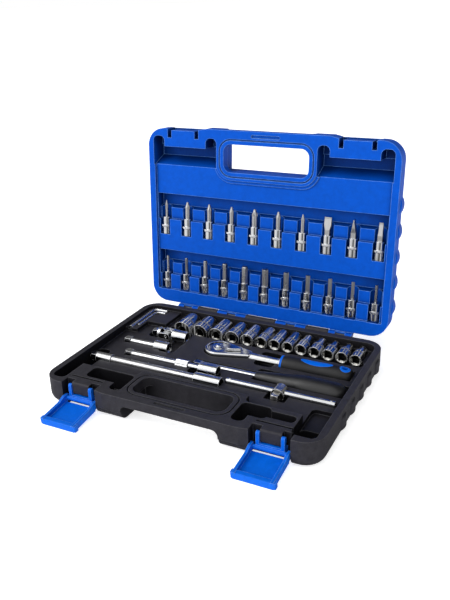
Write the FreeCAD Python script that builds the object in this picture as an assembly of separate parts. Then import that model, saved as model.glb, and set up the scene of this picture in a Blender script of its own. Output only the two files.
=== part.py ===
"""Socket wrench set in a two-part carrying case, standing open. All sizes in millimetres.

X runs along the case hinge to the right, Y towards the hinge, Z up.
The origin is on the floor, under the middle of the base.
"""
import FreeCAD
import Part
import math
import os

# Case shells
CASE_WIDTH = 264.0
CASE_DEPTH = 187.0
BASE_HEIGHT = 25.0
LID_HEIGHT = 24.0
PARTING_GAP = 0.3
CORNER_R = 18.0
EDGE_R = 9.0
SIDE_RIM = 6.0
BACK_RIM = 7.0
LID_OPEN_DEG = 94.0

# Grip ribs on the side walls
RIB_COUNT = 5
RIB_PITCH = 25.0
RIB_CENTRE_Y = 15.5
RIB_PROUD = 2.0
RIB_R = 14.0
RIB_HEIGHT = 13.0
RIB_OFF_RIM = 5.5

# Carrying handle
HANDLE_GAP_WIDTH = 90.0
HANDLE_GAP_DEPTH = 27.5
HANDLE_GAP_R = 8.0
HANDLE_BAR_DEPTH = 12.0
HANDLE_BAR_HEIGHT = 8.5
HANDLE_ARCH_WIDTH = 94.0
HANDLE_ARCH_R = 6.0
HANDLE_PROUD = 1.5
HANDLE_PAD_WIDTH = 130.0
HANDLE_PAD_RAMP = 7.0
COLLAR_GROOVE_OFFSET = 3.8
COLLAR_GROOVE_WIDTH = 1.4
COLLAR_GROOVE_DEPTH = 1.4
COLLAR_WIDTH = 7.0
LID_COLLAR_WIDTH = 8.0
LID_COLLAR_STEP = 3.0
THUMB_SLOT_LENGTH = 30.0
THUMB_SLOT_WIDTH = 3.0
THUMB_SLOT_DEPTH = 1.2

# Hinge
HINGE_BARREL_R = 3.0
HINGE_WALL_GAP = 0.4
HINGE_DROP = 1.6
HINGE_ROD_R = 1.25
HINGE_ROD_CLEAR = 0.05
KNUCKLE_GAP = 0.3
KNUCKLE_BOUNDS = (17.0, 50.0, 74.0, 98.0)
KNUCKLE_WEB = 8.0
KNUCKLE_WINDOW = 10.0
STOP_LENGTH = 6.0
STOP_GAP = 0.1

# Latches
LATCH_FROM_SIDE = 41.0
LATCH_FIT = 0.4
LATCH_RECESS_DEPTH = 9.5
LATCH_SLOT_WALL = 4.0
LATCH_SLOT_WIDTH = 2.0
LATCH_SLOT_DEPTH = 4.0
LATCH_BLOCK_WIDTH = 18.0
LATCH_BLOCK_HEIGHT = 12.0
LATCH_BLOCK_SETBACK = 3.5
PIVOT_R = 2.0
PIVOT_CLEAR = 0.06
PIVOT_SETBACK = 2.0
PIVOT_HEIGHT = 9.0
PRONG_WIDTH = 3.0
PRONG_DEPTH = 4.0
PRONG_TOP_GAP = 2.0
FLAP_WIDTH = 34.0
FLAP_LENGTH = 34.0
FLAP_PLATE = 2.4
FLAP_DROP = 5.0
FLAP_WALL = 2.4
FLAP_WALL_RISE = 1.5
FLAP_EAR_R = 3.6
FLAP_SLOT = 7.0
FLAP_PLATE_GAP = 2.6
FLAP_LIP_WIDTH = 37.0
FLAP_LIP = 4.5
FLAP_LIP_RISE = 1.0
FLAP_FLOOR_GAP = 0.2
LID_KEEPER_SETBACK = 1.5
LID_NOTCH_DEPTH = 9.0

# Tray in the base: depths below the rim, heights of the pocket floors
TRAY_DEPTH = 8.0
TRAY_CORNER_R = 10.0
TRAY_LIP = 1.0
LATCH_WALL_DEPTH = 36.5
POCKET_FLOOR = 6.0
POCKET_R = 5.0
STEP_FLOOR = 13.0
STEP_R = 4.0
FINGER_FLOOR = 9.0
TOOL_CLEAR = 0.4
TOP_ROOM = 0.8

# Loose pockets along the front wall, from the front face and the side rims
POCKET_FRONT = 18.0
LOBE_FRONT = 7.5
LOBE_DEPTH = 21.0
LOBE_WIDTH = 12.0
OUTER_LOBE_WIDTH = 13.0
LOBE_FROM_LATCH = 38.0
SIDE_POCKET_WIDTH = 14.0
SIDE_POCKET_LENGTH = 74.0
LEFT_POCKET_WIDTH = 44.0
RIGHT_POCKET_WIDTH = 27.0
RIGHT_STEP_WIDTH = 28.0
RIGHT_STEP_OVERLAP = 5.0
RIGHT_STEP_FRONT = 21.5
RIGHT_STEP_LENGTH = 10.0
CORNER_POCKET_WIDTH = 21.0
CORNER_POCKET_LENGTH = 26.0
CORNER_STEP_LENGTH = 53.0

# Finger recesses that cross the tool beds: width, reach in front of and behind the tool axis
SHORT_FINGER_FROM_SIDE = 54.0
SHORT_FINGER_WIDTH = 18.0
SHORT_FINGER_FRONT = 8.3
JOINT_FINGER_BACK = 8.0
LONG_FINGER_FROM_SIDE = 102.0
LONG_FINGER_WIDTH = 33.0
LONG_FINGER_FRONT = 12.8
NECK_FINGER_FROM_HEAD = 42.0
NECK_FINGER_WIDTH = 20.0
NECK_FINGER_FRONT = 14.0
NECK_FINGER_BACK = 14.5
SOCKET_FINGER_FRONT = 9.0
SOCKET_FINGER_BACK = 2.0
SOCKET_FINGER_LEFT = 40.0
SOCKET_FINGER_RIGHT = 4.0

# Rows of the tray, each counted from the row behind it
SOCKET_BACK_GAP = 2.0
SOCKET_SIDE_GAP = 12.9
RATCHET_ROW = 28.0
SPINNER_ROW = 29.3
TBAR_ROW = 23.7
JOINT_ROW = 17.5
SHORT_ROW = 27.7
LONG_ROW = 23.5
FLEX_ROW = 18.3

# Panel, pockets and troughs in the lid
LID_PANEL_DEPTH = 3.0
LID_PANEL_BACK = 14.0
LID_PANEL_FRONT = 37.0
LID_PANEL_SIDE = 1.0
LID_POCKET_DEPTH = 20.0
LID_POCKET_SLOPE = 8.0
LID_POCKET_LENGTH = 19.0
LID_LOBE_OVERLAP = 10.0
LID_LOBE_RISE = 2.0
TROUGH_SIDE = 2.0
TROUGH_FROM = 16.7
TROUGH_STEP = 12.0
TROUGH_RAMP = 2.0
TROUGH_BED = 13.5
TROUGH_SHALLOW = 7.5
TROUGH_DEEP = 14.0
TOP_PANEL_WIDTH = 190.0
TOP_PANEL_LENGTH = 100.0
TOP_PANEL_FROM_GAP = 14.0
TOP_PANEL_DEPTH = 0.8

# Drive squares shared by all tools
DRIVE = 6.35
DRIVE_LENGTH = 7.2
DRIVE_CHAMFER = 0.6
DRIVE_HOLE_CLEAR = 0.12
DRIVE_HOLE_DEPTH = 8.0
DRIVE_MOUTH_R = 5.0
DRIVE_MOUTH_DEPTH = 0.5
BALL_R = 1.2
BALL_PROUD = 0.4
INNER_FIT = 0.05

# Sockets, widest first: nut size, outside diameter of the nut end
SOCKET_LENGTH = 25.0
SOCKET_KEY_SHARE = 0.484
SOCKET_DRIVE_END_D = 11.8
SOCKET_DRIVE_END = 13.0
SOCKET_TAPER = 2.5
SOCKET_NUT_DEPTH = 9.0
SOCKET_NECK_R = 0.45
SOCKET_NECK_AT = 9.0
SOCKET_NECK_WIDTH = 1.4
SOCKETS = (
    ("14", 14.0, 19.5), ("13", 13.0, 18.0), ("12", 12.0, 16.8), ("11", 11.0, 15.6), ("10", 10.0, 14.2),
    ("9", 9.0, 12.9), ("8", 8.0, 12.0), ("7", 7.0, 11.8), ("6", 6.0, 10.0), ("5_5", 5.5, 9.3),
    ("5", 5.0, 8.6), ("4_5", 4.5, 8.0), ("4", 4.0, 7.4),
)

# Bit sockets in the lid
BIT_LENGTH = 36.0
HOLDER_LENGTH = 18.5
HOLDER_R = 4.7
HOLDER_RING_R = 5.5
HOLDER_RING_FROM = 8.0
HOLDER_RING_TO = 10.4
HOLDER_NECK_R = 4.4
BIT_SHANK_R = 2.9
BIT_SHANK_DEPTH = 8.0
HEX_TIP_TAPER = 1.0
BIT_DEPTH_W = 7.2
BIT_FOOT_GAP = 0.3
BIT_CLEAR = 0.3
BIT_ROW_SIDE = 9.5
LOWER_ROW_V = 13.8
UPPER_ROW_V = 75.3
UPPER_ROW = (
    ("cross_bit_1", "cross", 1.6, 0), ("cross_bit_2", "cross", 2.7, 0), ("cross_bit_3", "cross", 2.5, 0),
    ("cross_bit_4", "cross", 2.3, 0), ("cross_bit_5", "cross", 3.0, 45), ("cross_bit_6", "cross", 2.4, 0),
    ("cross_bit_7", "cross", 1.9, 45), ("slotted_bit_7mm", "slotted", 7.0, 90),
    ("slotted_bit_5_5mm", "slotted", 5.5, 0), ("slotted_bit_4mm", "slotted", 4.0, 90),
)
LOWER_ROW = (
    ("hex_bit_2_5mm", "hex", 2.5, 0), ("hex_bit_3mm", "hex", 3.0, 30), ("hex_bit_4mm", "hex", 4.0, 0),
    ("hex_bit_5mm", "hex", 5.0, 15), ("hex_bit_6mm", "hex", 6.0, 0), ("star_bit_40", "star", 6.6, 0),
    ("star_bit_30", "star", 5.5, 0), ("star_bit_25", "star", 4.4, 0), ("star_bit_20", "star", 3.9, 0),
    ("star_bit_15", "star", 3.3, 0), ("star_bit_10", "star", 2.75, 0),
)

# Ratchet
RATCHET_DEPTH = 9.5
RATCHET_END_GAP = 7.0
HEAD_FROM_GRIP = 66.5
HEAD_R = 13.8
HEAD_HEIGHT = 10.0
HEAD_ROUND = 1.8
NECK_FROM_HEAD = 31.0
NECK_HALF = 5.5
NECK_START_R = 4.9
NECK_END_R = 4.4
NECK_FLARE = 4.0
DIAL_DEPTH = 0.8
DIAL_R = 10.6
DIAL_LEVER_ROOM = 1.4
LEVER_FROM_HEAD = 13.5
LEVER_R = 5.0
LEVER_TAIL = 9.5
LEVER_TIP_R = 1.7
LEVER_HEIGHT = 2.4
SPINDLE_R = 1.6
SPINDLE_CLEAR = 0.05
PAWL_ROOM_R = 5.3
GEAR_R = 8.2
GEAR_TOOTH = 0.7
GEAR_TEETH = 30
GEAR_ROOM = 0.4
COVER_HEIGHT = 1.4
COVER_LAP = 1.0
COVER_PAWL_LAP = 0.9
BOSS_R = 5.0
NECK_BOSS_R = 4.6
BOSS_CLEAR = 0.1
BUTTON_R = 3.0
BUTTON_CLEAR = 0.05
BUTTON_PROUD = 1.8
BUTTON_TRAVEL = 1.5
GRIP_LENGTH = 68.5
GRIP_R = 9.0
GRIP_END_R = 8.2
GRIP_WAIST_R = 8.5
GRIP_HEEL_R = 8.6
COLLAR_RING = 2.0
TANG_R = 3.5
TANG_LENGTH = 56.0
CORE_R = 5.6
HANG_HOLE_R = 2.8
HANG_RING_R = 4.9
HANG_FROM_END = 7.0
INLAY_LENGTH = 31.0
INLAY_WIDTH = 8.6
INLAY_FROM_COLLAR = 34.5

# Spinner handle
SPINNER_END_GAP = 3.8
SPINNER_SHAFT_R = 3.6
SPINNER_SHAFT = 57.0
SPINNER_TANG = 30.0
SPINNER_HANDLE = 85.0
SPINNER_HANDLE_R = 10.4
SPINNER_FRONT_R = 5.0
SPINNER_WAIST_R = 6.2
SPINNER_NECK_R = 7.4
SPINNER_HEEL_R = 8.0
SPINNER_END_R = 5.0

# Straight tools lying left of the middle: tip from the left rim, sections (length, radius) behind the square
FLEX_TIP_GAP = 1.4
FLEX_COLLAR = (16.6, 4.9)
FLEX_SLEEVE = (91.0, 3.8)
FLEX_SOCKET = (26.0, 5.8)
FLEX_INSERT = 6.0
LONG_TIP_GAP = 29.0
LONG_SECTIONS = ((50.0, 3.1), (13.0, 4.6), (12.0, 3.1), (18.8, 5.7))
SHORT_TIP_GAP = 12.5
SHORT_SECTIONS = ((28.5, 3.1), (15.3, 5.7))

# Universal joint
JOINT_FROM_SIDE = 46.0
JOINT_R = 6.2
JOINT_SOCKET_LENGTH = 16.0
JOINT_BACK = 7.0
JOINT_DRIVE_BODY = 3.0
JOINT_DRIVE_R = 5.89
CROSS_HALF = 3.4
CROSS_PIN_R = 1.3
CROSS_PIN_CLEAR = 0.06
YOKE_GAP = 0.3
YOKE_ARM = 2.2
YOKE_ROOT = 1.0
YOKE_ARM_HALF = 3.0
YOKE_ARM_REACH = 4.2
JOINT_RECESS_HALF = 11.0
JOINT_RECESS_FRONT = 18.5
JOINT_RECESS_BACK = 25.0

# Sliding T-bar
TBAR_RISE = 1.0
TBAR_END_GAP = 5.0
TBAR_FLEX_GAP = 2.3
TBAR_R = 2.9
TBAR_BALL_INSET = 4.0
SLIDER_FROM_END = 51.0
SLIDER_R = 6.0
SLIDER_CHAMFER = 1.0
SLIDER_BACK = 6.5
SLIDER_FRONT = 5.5
SLIDER_BORE_CLEAR = 0.06
SLIDER_TRAVEL = 3.5

# Hex keys on their raised ledge: across flats, long arm, short arm
KEY_LEDGE_DEPTH = 4.0
KEY_LEDGE_FRONT_ROOM = 2.0
KEY_LEDGE_WIDTH = 14.0
KEY_LEDGE_BACK_WIDTH = 36.0
KEY_BEND_R = 4.0
KEY_LARGE = (3.0, 48.0, 16.0)
KEY_SMALL = (2.0, 36.0, 11.0)
KEY_SIDE_GAP = 5.0
KEY_BACK_GAP = 3.5
KEY_SPACE = 5.5
KEY_CLEAR = 0.5

FRONT = -CASE_DEPTH / 2
BACK = CASE_DEPTH / 2
SIDE = CASE_WIDTH / 2
RIM = BASE_HEIGHT
LID_RIM = RIM + PARTING_GAP
LID_TOP = LID_RIM + LID_HEIGHT
HINGE_Y = BACK + HINGE_WALL_GAP + HINGE_BARREL_R
HINGE_Z = RIM - HINGE_DROP
INNER_X = SIDE - SIDE_RIM
INNER_BACK = BACK - BACK_RIM
PIVOT_Y = FRONT + PIVOT_SETBACK
LATCH_X = SIDE - LATCH_FROM_SIDE
GAP_FRONT = FRONT + HANDLE_BAR_DEPTH
GAP_BACK = GAP_FRONT + HANDLE_GAP_DEPTH
TRAY_Z = RIM - TRAY_DEPTH
TRAY_FRONT_Y = FRONT + LATCH_WALL_DEPTH
LOBE_Y = FRONT + LOBE_FRONT
LOBE_INNER_X = (LATCH_X - LOBE_FROM_LATCH, LATCH_X - LOBE_FROM_LATCH + LOBE_WIDTH)
LOBE_OUTER_X = (INNER_X - OUTER_LOBE_WIDTH, INNER_X)
TROUGH_HALF_WIDTH = INNER_X - TROUGH_SIDE
BIT_ROW_SPAN = 2 * (INNER_X - BIT_ROW_SIDE)
SOCKET_FRONT_Y = INNER_BACK - SOCKET_BACK_GAP - SOCKET_LENGTH
SOCKET_LAST_X = INNER_X - SOCKET_SIDE_GAP
RATCHET_Y = SOCKET_FRONT_Y - RATCHET_ROW
RATCHET_Z = RIM - RATCHET_DEPTH
GRIP_END_X = INNER_X - RATCHET_END_GAP
GRIP_X = GRIP_END_X - GRIP_LENGTH
HEAD_X = GRIP_X - HEAD_FROM_GRIP
INLAY_CENTRE_X = GRIP_X + INLAY_FROM_COLLAR
SPINNER_Y = RATCHET_Y - SPINNER_ROW
SPINNER_HANDLE_X = INNER_X - SPINNER_END_GAP - SPINNER_HANDLE
SPINNER_TIP_X = SPINNER_HANDLE_X - SPINNER_SHAFT - DRIVE_LENGTH
TBAR_Y = SPINNER_Y - TBAR_ROW
TBAR_Z = TRAY_Z + TBAR_RISE
TOOL_AXIS_Z = TRAY_Z
JOINT_Y = SOCKET_FRONT_Y - JOINT_ROW
JOINT_CROSS_X = -INNER_X + JOINT_FROM_SIDE
SHORT_Y = JOINT_Y - SHORT_ROW
SHORT_TIP_X = -INNER_X + SHORT_TIP_GAP
LONG_Y = SHORT_Y - LONG_ROW
LONG_TIP_X = -INNER_X + LONG_TIP_GAP
FLEX_Y = LONG_Y - FLEX_ROW
FLEX_TIP_X = -INNER_X + FLEX_TIP_GAP
FLEX_LENGTH = DRIVE_LENGTH + FLEX_COLLAR[0] + FLEX_SLEEVE[0] + FLEX_SOCKET[0]
TBAR_START_X = FLEX_TIP_X + FLEX_LENGTH + TBAR_FLEX_GAP
TBAR_LENGTH = INNER_X - TBAR_END_GAP - TBAR_START_X
SLIDER_X = TBAR_START_X + TBAR_LENGTH - SLIDER_FROM_END
JOINT_RECESS_X = (JOINT_CROSS_X - JOINT_RECESS_FRONT, JOINT_CROSS_X + JOINT_RECESS_BACK)
JOINT_RECESS_Y = (JOINT_Y - JOINT_RECESS_HALF, JOINT_Y + JOINT_RECESS_HALF)
KEY_LEDGE_Z = RIM - KEY_LEDGE_DEPTH
KEY_X = -INNER_X + KEY_SIDE_GAP
KEY_Y = INNER_BACK - KEY_BACK_GAP
KEY_PLACES = (KEY_LARGE + (KEY_X, KEY_Y), KEY_SMALL + (KEY_X + KEY_SPACE, KEY_Y - KEY_SPACE))
OVER = 2.0
NEAR = 0.01
SLOT_ROUND = 0.476
UP = FreeCAD.Vector(0, 0, 1)
ALONG_X = FreeCAD.Vector(1, 0, 0)
ALONG_Y = FreeCAD.Vector(0, 1, 0)
ORIGIN = FreeCAD.Vector(0, 0, 0)


def vec(x, y, z):
    return FreeCAD.Vector(x, y, z)


def slab(x, y, z, corner=0.0):
    """Block between three (low, high) pairs, its upright edges rounded to corner."""
    solid = Part.makeBox(x[1] - x[0], y[1] - y[0], z[1] - z[0], vec(x[0], y[0], z[0]))
    if corner:
        solid = solid.makeFillet(corner, along(solid, UP))
    return solid


def along(shape, axis):
    """Straight edges of a shape that run along an axis."""
    return [e for e in shape.Edges if abs(e.tangentAt(e.FirstParameter).dot(axis)) > 0.5]


def mirrored(pair):
    return (-pair[1], -pair[0])


def on_side(pair, side):
    """A (low, high) pair of X positions on the right, or mirrored to the left."""
    return pair if side > 0 else mirrored(pair)


def turned(profile):
    """Solid of revolution about local Z from a closed (radius, height) outline."""
    points = [vec(r, 0, z) for r, z in profile]
    return Part.Face(Part.makePolygon(points + points[:1])).revolve(ORIGIN, UP, 360)


def turned_curve(points, tail):
    """Solid of revolution about local Z: a smooth (radius, height) curve closed by tail points."""
    curve = Part.BSplineCurve()
    curve.interpolate([vec(r, 0, z) for r, z in points])
    ends = [points[-1]] + list(tail) + [points[0]]
    straight = Part.makePolygon([vec(r, 0, z) for r, z in ends])
    outline = Part.Wire(Part.__sortEdges__([curve.toShape()] + straight.Edges))
    return Part.Face(outline).revolve(ORIGIN, UP, 360)


def prism(points, height):
    """Upright prism on a closed outline of (x, y) points."""
    corners = [vec(x, y, 0) for x, y in points]
    return Part.Face(Part.makePolygon(corners + corners[:1])).extrude(vec(0, 0, height))


def side_prism(points, x0, x1):
    """Prism along X on a closed outline of (y, z) points."""
    corners = [vec(x0, y, z) for y, z in points]
    return Part.Face(Part.makePolygon(corners + corners[:1])).extrude(vec(x1 - x0, 0, 0))


def polygon_points(sides, radius, turn=0.0):
    angles = [math.radians(turn + 360.0 * k / sides) for k in range(sides)]
    return [(radius * math.cos(a), radius * math.sin(a)) for a in angles]


def square_points(width):
    half = width / 2
    return [(-half, -half), (half, -half), (half, half), (-half, half)]


def hexagon_points(flats):
    return polygon_points(6, flats / math.sqrt(3.0))


def laid(shape, start, axis, spin=0.0):
    """Moves a shape made along local +Z so that it starts at a point and runs along an axis."""
    turn = FreeCAD.Rotation(UP, axis).multiply(FreeCAD.Rotation(UP, spin))
    moved = shape.copy()
    moved.Placement = FreeCAD.Placement(start, turn)
    return moved


def channel(radius, start, along, up):
    """Round-bottomed channel of a lying round tool, from its axis out to the open side."""
    side = along.cross(up).normalize() * radius
    left = start - side
    right = start + side
    bottom = start - FreeCAD.Vector(up).normalize() * radius
    edges = [
        Part.Arc(left, bottom, right).toShape(),
        Part.makeLine(right, right + up),
        Part.makeLine(right + up, left + up),
        Part.makeLine(left + up, left),
    ]
    return Part.Face(Part.Wire(edges)).extrude(along)


def teardrop(big, small, distance, height):
    """Upright plate around two circles on X, joined by their tangents."""
    angle = math.acos((big - small) / distance)
    c = math.cos(angle)
    s = math.sin(angle)
    corners = [vec(big * c, big * s, 0), vec(big * c, -big * s, 0)]
    tips = [vec(distance + small * c, -small * s, 0), vec(distance + small * c, small * s, 0)]
    edges = [
        Part.Arc(corners[0], vec(-big, 0, 0), corners[1]).toShape(),
        Part.makeLine(corners[1], tips[0]),
        Part.Arc(tips[0], vec(distance + small, 0, 0), tips[1]).toShape(),
        Part.makeLine(tips[1], corners[0]),
    ]
    return Part.Face(Part.Wire(edges)).extrude(vec(0, 0, height))


def fused(shapes):
    return shapes[0].fuse(list(shapes[1:])).removeSplitter()


def opened(shape):
    """Turns a lid piece from the closed to the open place."""
    moved = shape.copy()
    moved.rotate(vec(0, HINGE_Y, HINGE_Z), ALONG_X, -LID_OPEN_DEG)
    return moved


def drive_square(length=DRIVE_LENGTH):
    """Male square from local Z 0 with a broken tip and the cap of its spring ball."""
    blank = prism(square_points(DRIVE), length)
    outer = DRIVE / math.sqrt(2.0) + DRIVE_CHAMFER
    slope = 3 * DRIVE_CHAMFER
    broken = turned([(0, 0), (outer - slope, 0), (outer, slope), (outer, length), (0, length)])
    ball = Part.makeSphere(BALL_R, vec(DRIVE / 2 + BALL_PROUD - BALL_R, 0, length / 2))
    return blank.common(broken).fuse(ball)


def drive_hole(mouth_r=DRIVE_MOUTH_R):
    """Female square going down from local Z 0, with a turned mouth."""
    hole = prism(square_points(DRIVE + 2 * DRIVE_HOLE_CLEAR), DRIVE_HOLE_DEPTH)
    floor = DRIVE_MOUTH_DEPTH + mouth_r - DRIVE / 2
    mouth = turned([(0, -OVER), (mouth_r, -OVER), (mouth_r, 0), (DRIVE / 2, floor), (0, floor)])
    return hole.fuse(mouth)


def stepped(sections, start=0.0):
    """Turned bar from local Z start with one diameter per (length, radius) section."""
    outline = [(0, start)]
    at = start
    for length, radius in sections:
        outline += [(radius, at), (radius, at + length)]
        at += length
    return turned(outline + [(0, at)])


def socket_bar(sections):
    """Extension bar: male square at local Z 0, stepped shank and a square hole in the far end."""
    end = DRIVE_LENGTH + sum(length for length, radius in sections)
    bar = stepped(sections, DRIVE_LENGTH).fuse(drive_square())
    return bar.cut(laid(drive_hole(), vec(0, 0, end), -UP))


def bar_bed(sections, tip_x, y, z):
    """Channels for a bar that lies along X with its drive tip at tip_x."""
    runs = [(DRIVE_LENGTH, DRIVE / math.sqrt(2.0))] + list(sections)
    beds = []
    at = tip_x
    rise = UP * (RIM + OVER - z)
    for length, radius in runs:
        reach = ALONG_X * (length + 2 * TOOL_CLEAR)
        beds.append(channel(radius + TOOL_CLEAR, vec(at - TOOL_CLEAR, y, z), reach, rise))
        at += length
    return beds


# Case shells

def shell_blank(low, high, outer):
    """Rounded shell half between two heights, its outer face at the height outer."""
    body = slab((-SIDE, SIDE), (FRONT, BACK), (low, high), CORNER_R)
    level = [e for e in body.Edges if e.BoundBox.ZLength < NEAR]
    return body.makeFillet(EDGE_R, [e for e in level if abs(e.CenterOfMass.z - outer) < NEAR])


def grip_ribs(rim, away):
    """Upright rounded ribs on both side walls; away is +1 where the shell stands above its rim."""
    near = rim + away * RIB_OFF_RIM
    far = near + away * RIB_HEIGHT
    ribs = []
    for k in range(RIB_COUNT):
        y = RIB_CENTRE_Y + RIB_PITCH * (k - (RIB_COUNT - 1) / 2)
        for side in (-1, 1):
            x = side * (SIDE + RIB_PROUD - RIB_R)
            rib = Part.makeCylinder(RIB_R, RIB_HEIGHT, vec(x, y, min(near, far)))
            ribs.append(rib.makeFillet(RIB_PROUD, [e for e in rib.Edges if len(e.Vertexes) == 1]))
    return ribs


def handle_pad(rim, away):
    """Front of the handle, standing a little proud of the wall."""
    half = HANDLE_PAD_WIDTH / 2
    foot = half + HANDLE_PAD_RAMP
    face = FRONT - HANDLE_PROUD
    height = BASE_HEIGHT - EDGE_R
    pad = prism([(-foot, FRONT + OVER), (-foot, FRONT), (-half, face), (half, face), (foot, FRONT),
                 (foot, FRONT + OVER)], height)
    pad.translate(vec(0, 0, rim if away > 0 else rim - height))
    return pad


def handle_cuts(rim, away):
    """Finger gap, arch below the bar, collar groove round the gap and thumb slot on the bar."""
    half = HANDLE_GAP_WIDTH / 2
    low = rim - OVER if away > 0 else rim - BASE_HEIGHT - OVER
    high = rim + LID_HEIGHT + OVER if away > 0 else rim + OVER
    gap = slab((-half, half), (GAP_FRONT, GAP_BACK), (low, high), HANDLE_GAP_R)
    arch_half = HANDLE_ARCH_WIDTH / 2
    arch_z = (rim + HANDLE_BAR_HEIGHT, high) if away > 0 else (low, rim - HANDLE_BAR_HEIGHT)
    arch = slab((-arch_half, arch_half), (FRONT - 2 * OVER, GAP_BACK), arch_z)
    crown_z = rim + away * HANDLE_BAR_HEIGHT
    crown = [e for e in along(arch, ALONG_Y) if abs(e.CenterOfMass.z - crown_z) < NEAR]
    arch = arch.makeFillet(HANDLE_ARCH_R, crown)
    groove_z = sorted((rim - away * OVER, rim + away * COLLAR_GROOVE_DEPTH))
    loops = []
    for grow in (COLLAR_GROOVE_OFFSET + COLLAR_GROOVE_WIDTH, COLLAR_GROOVE_OFFSET):
        loops.append(slab((-half - grow, half + grow), (GAP_FRONT - grow, GAP_BACK + grow), groove_z,
                          HANDLE_GAP_R + grow))
    thumb_z = sorted((rim - away * OVER, rim + away * THUMB_SLOT_DEPTH))
    thumb_y = FRONT + (HANDLE_BAR_DEPTH - COLLAR_GROOVE_OFFSET - COLLAR_GROOVE_WIDTH) / 2
    thumb = slab((-THUMB_SLOT_LENGTH / 2, THUMB_SLOT_LENGTH / 2),
                 (thumb_y - THUMB_SLOT_WIDTH / 2, thumb_y + THUMB_SLOT_WIDTH / 2), thumb_z,
                 THUMB_SLOT_WIDTH * SLOT_ROUND)
    return [gap, arch, loops[0].cut(loops[1]), thumb]


def knuckle_spans(first):
    """X spans of every second knuckle, counted from the middle one."""
    bounds = [-b for b in reversed(KNUCKLE_BOUNDS)] + list(KNUCKLE_BOUNDS)
    spans = [(bounds[k] + KNUCKLE_GAP / 2, bounds[k + 1] - KNUCKLE_GAP / 2) for k in range(len(bounds) - 1)]
    return spans[first::2]


def barrel(span):
    return Part.makeCylinder(HINGE_BARREL_R, span[1] - span[0], vec(span[0], HINGE_Y, HINGE_Z), ALONG_X)


def rod_bore():
    reach = 2 * KNUCKLE_BOUNDS[-1] + 2 * OVER
    start = vec(-reach / 2, HINGE_Y, HINGE_Z)
    return Part.makeCylinder(HINGE_ROD_R + HINGE_ROD_CLEAR, reach, start, ALONG_X)


def base_knuckles():
    parts = []
    for span in knuckle_spans(1):
        web = [(BACK - OVER, HINGE_Z - KNUCKLE_WEB), (BACK, HINGE_Z - KNUCKLE_WEB),
               (HINGE_Y, HINGE_Z - HINGE_BARREL_R), (HINGE_Y, HINGE_Z), (BACK - OVER, HINGE_Z)]
        parts += [barrel(span), side_prism(web, *span)]
    return parts


def lid_knuckles():
    parts = []
    for span in knuckle_spans(0):
        far = HINGE_Y + HINGE_BARREL_R
        web = [(BACK - OVER, LID_RIM), (BACK + HINGE_WALL_GAP, LID_RIM), (BACK + HINGE_WALL_GAP, HINGE_Z),
               (far, HINGE_Z), (far, LID_RIM), (BACK - OVER, LID_RIM + KNUCKLE_WEB)]
        parts += [barrel(span), side_prism(web, *span)]
    return parts


def stop_lugs():
    """Heels under the lid knuckles that meet the back wall of the base when the lid is fully open."""
    z = (HINGE_Z - STOP_LENGTH, HINGE_Z)
    return [slab(span, (BACK + STOP_GAP, HINGE_Y), z) for span in knuckle_spans(0)]


def knuckle_windows():
    """Openings in the lid knuckles through which the rod shows."""
    cuts = []
    for span in knuckle_spans(0):
        middle = (span[0] + span[1]) / 2
        cuts.append(slab((middle - KNUCKLE_WINDOW / 2, middle + KNUCKLE_WINDOW / 2),
                         (BACK + STOP_GAP - OVER, HINGE_Y), (HINGE_Z, HINGE_Z + HINGE_BARREL_R)))
    return cuts


def latch_recess(x):
    half = FLAP_WIDTH / 2 + 2 * LATCH_FIT
    return slab((x - half, x + half), (FRONT - OVER, FRONT + LATCH_RECESS_DEPTH), (-OVER, RIM + OVER))


def latch_block(x):
    """Block in the recess that the clip's prongs embrace."""
    half = LATCH_BLOCK_WIDTH / 2
    y = (FRONT + LATCH_BLOCK_SETBACK, FRONT + LATCH_RECESS_DEPTH + OVER)
    block = slab((x - half, x + half), y, (RIM - LATCH_BLOCK_HEIGHT, RIM))
    nose = [e for e in along(block, ALONG_X) if abs(e.CenterOfMass.y - y[0]) < NEAR]
    return block.makeFillet(LATCH_BLOCK_SETBACK / 2, nose)


def latch_slot(x):
    """Narrow slot in the wall top behind the latch."""
    y = FRONT + LATCH_RECESS_DEPTH + LATCH_SLOT_WALL
    return slab((x - FLAP_WIDTH / 2, x + FLAP_WIDTH / 2), (y, y + LATCH_SLOT_WIDTH),
                (RIM - LATCH_SLOT_DEPTH, RIM + OVER), LATCH_SLOT_WIDTH * SLOT_ROUND)


def deep(x, y, floor, corner=POCKET_R):
    return slab(x, y, (floor, RIM + OVER), corner)


def tray_cuts():
    """Stepped tray: the main level, the raised key ledge, loose pockets and finger recesses."""
    level = deep((-INNER_X, INNER_X), (GAP_BACK + COLLAR_WIDTH, INNER_BACK), TRAY_Z, TRAY_CORNER_R)
    wings = [deep(on_side((LOBE_INNER_X[0], INNER_X), side), (TRAY_FRONT_Y, 0), TRAY_Z) for side in (-1, 1)]
    ledge_z = (TRAY_Z, KEY_LEDGE_Z)
    ledge_front = KEY_Y - KEY_LARGE[1] - KEY_LEDGE_FRONT_ROOM
    ledge = [
        slab((-SIDE, -INNER_X + KEY_LEDGE_WIDTH), (ledge_front, BACK), ledge_z),
        slab((-SIDE, -INNER_X + KEY_LEDGE_BACK_WIDTH), (JOINT_RECESS_Y[1] + TRAY_LIP, BACK), ledge_z),
    ]
    return [level.cut(ledge)] + wings + loose_pockets() + finger_recesses()


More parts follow.
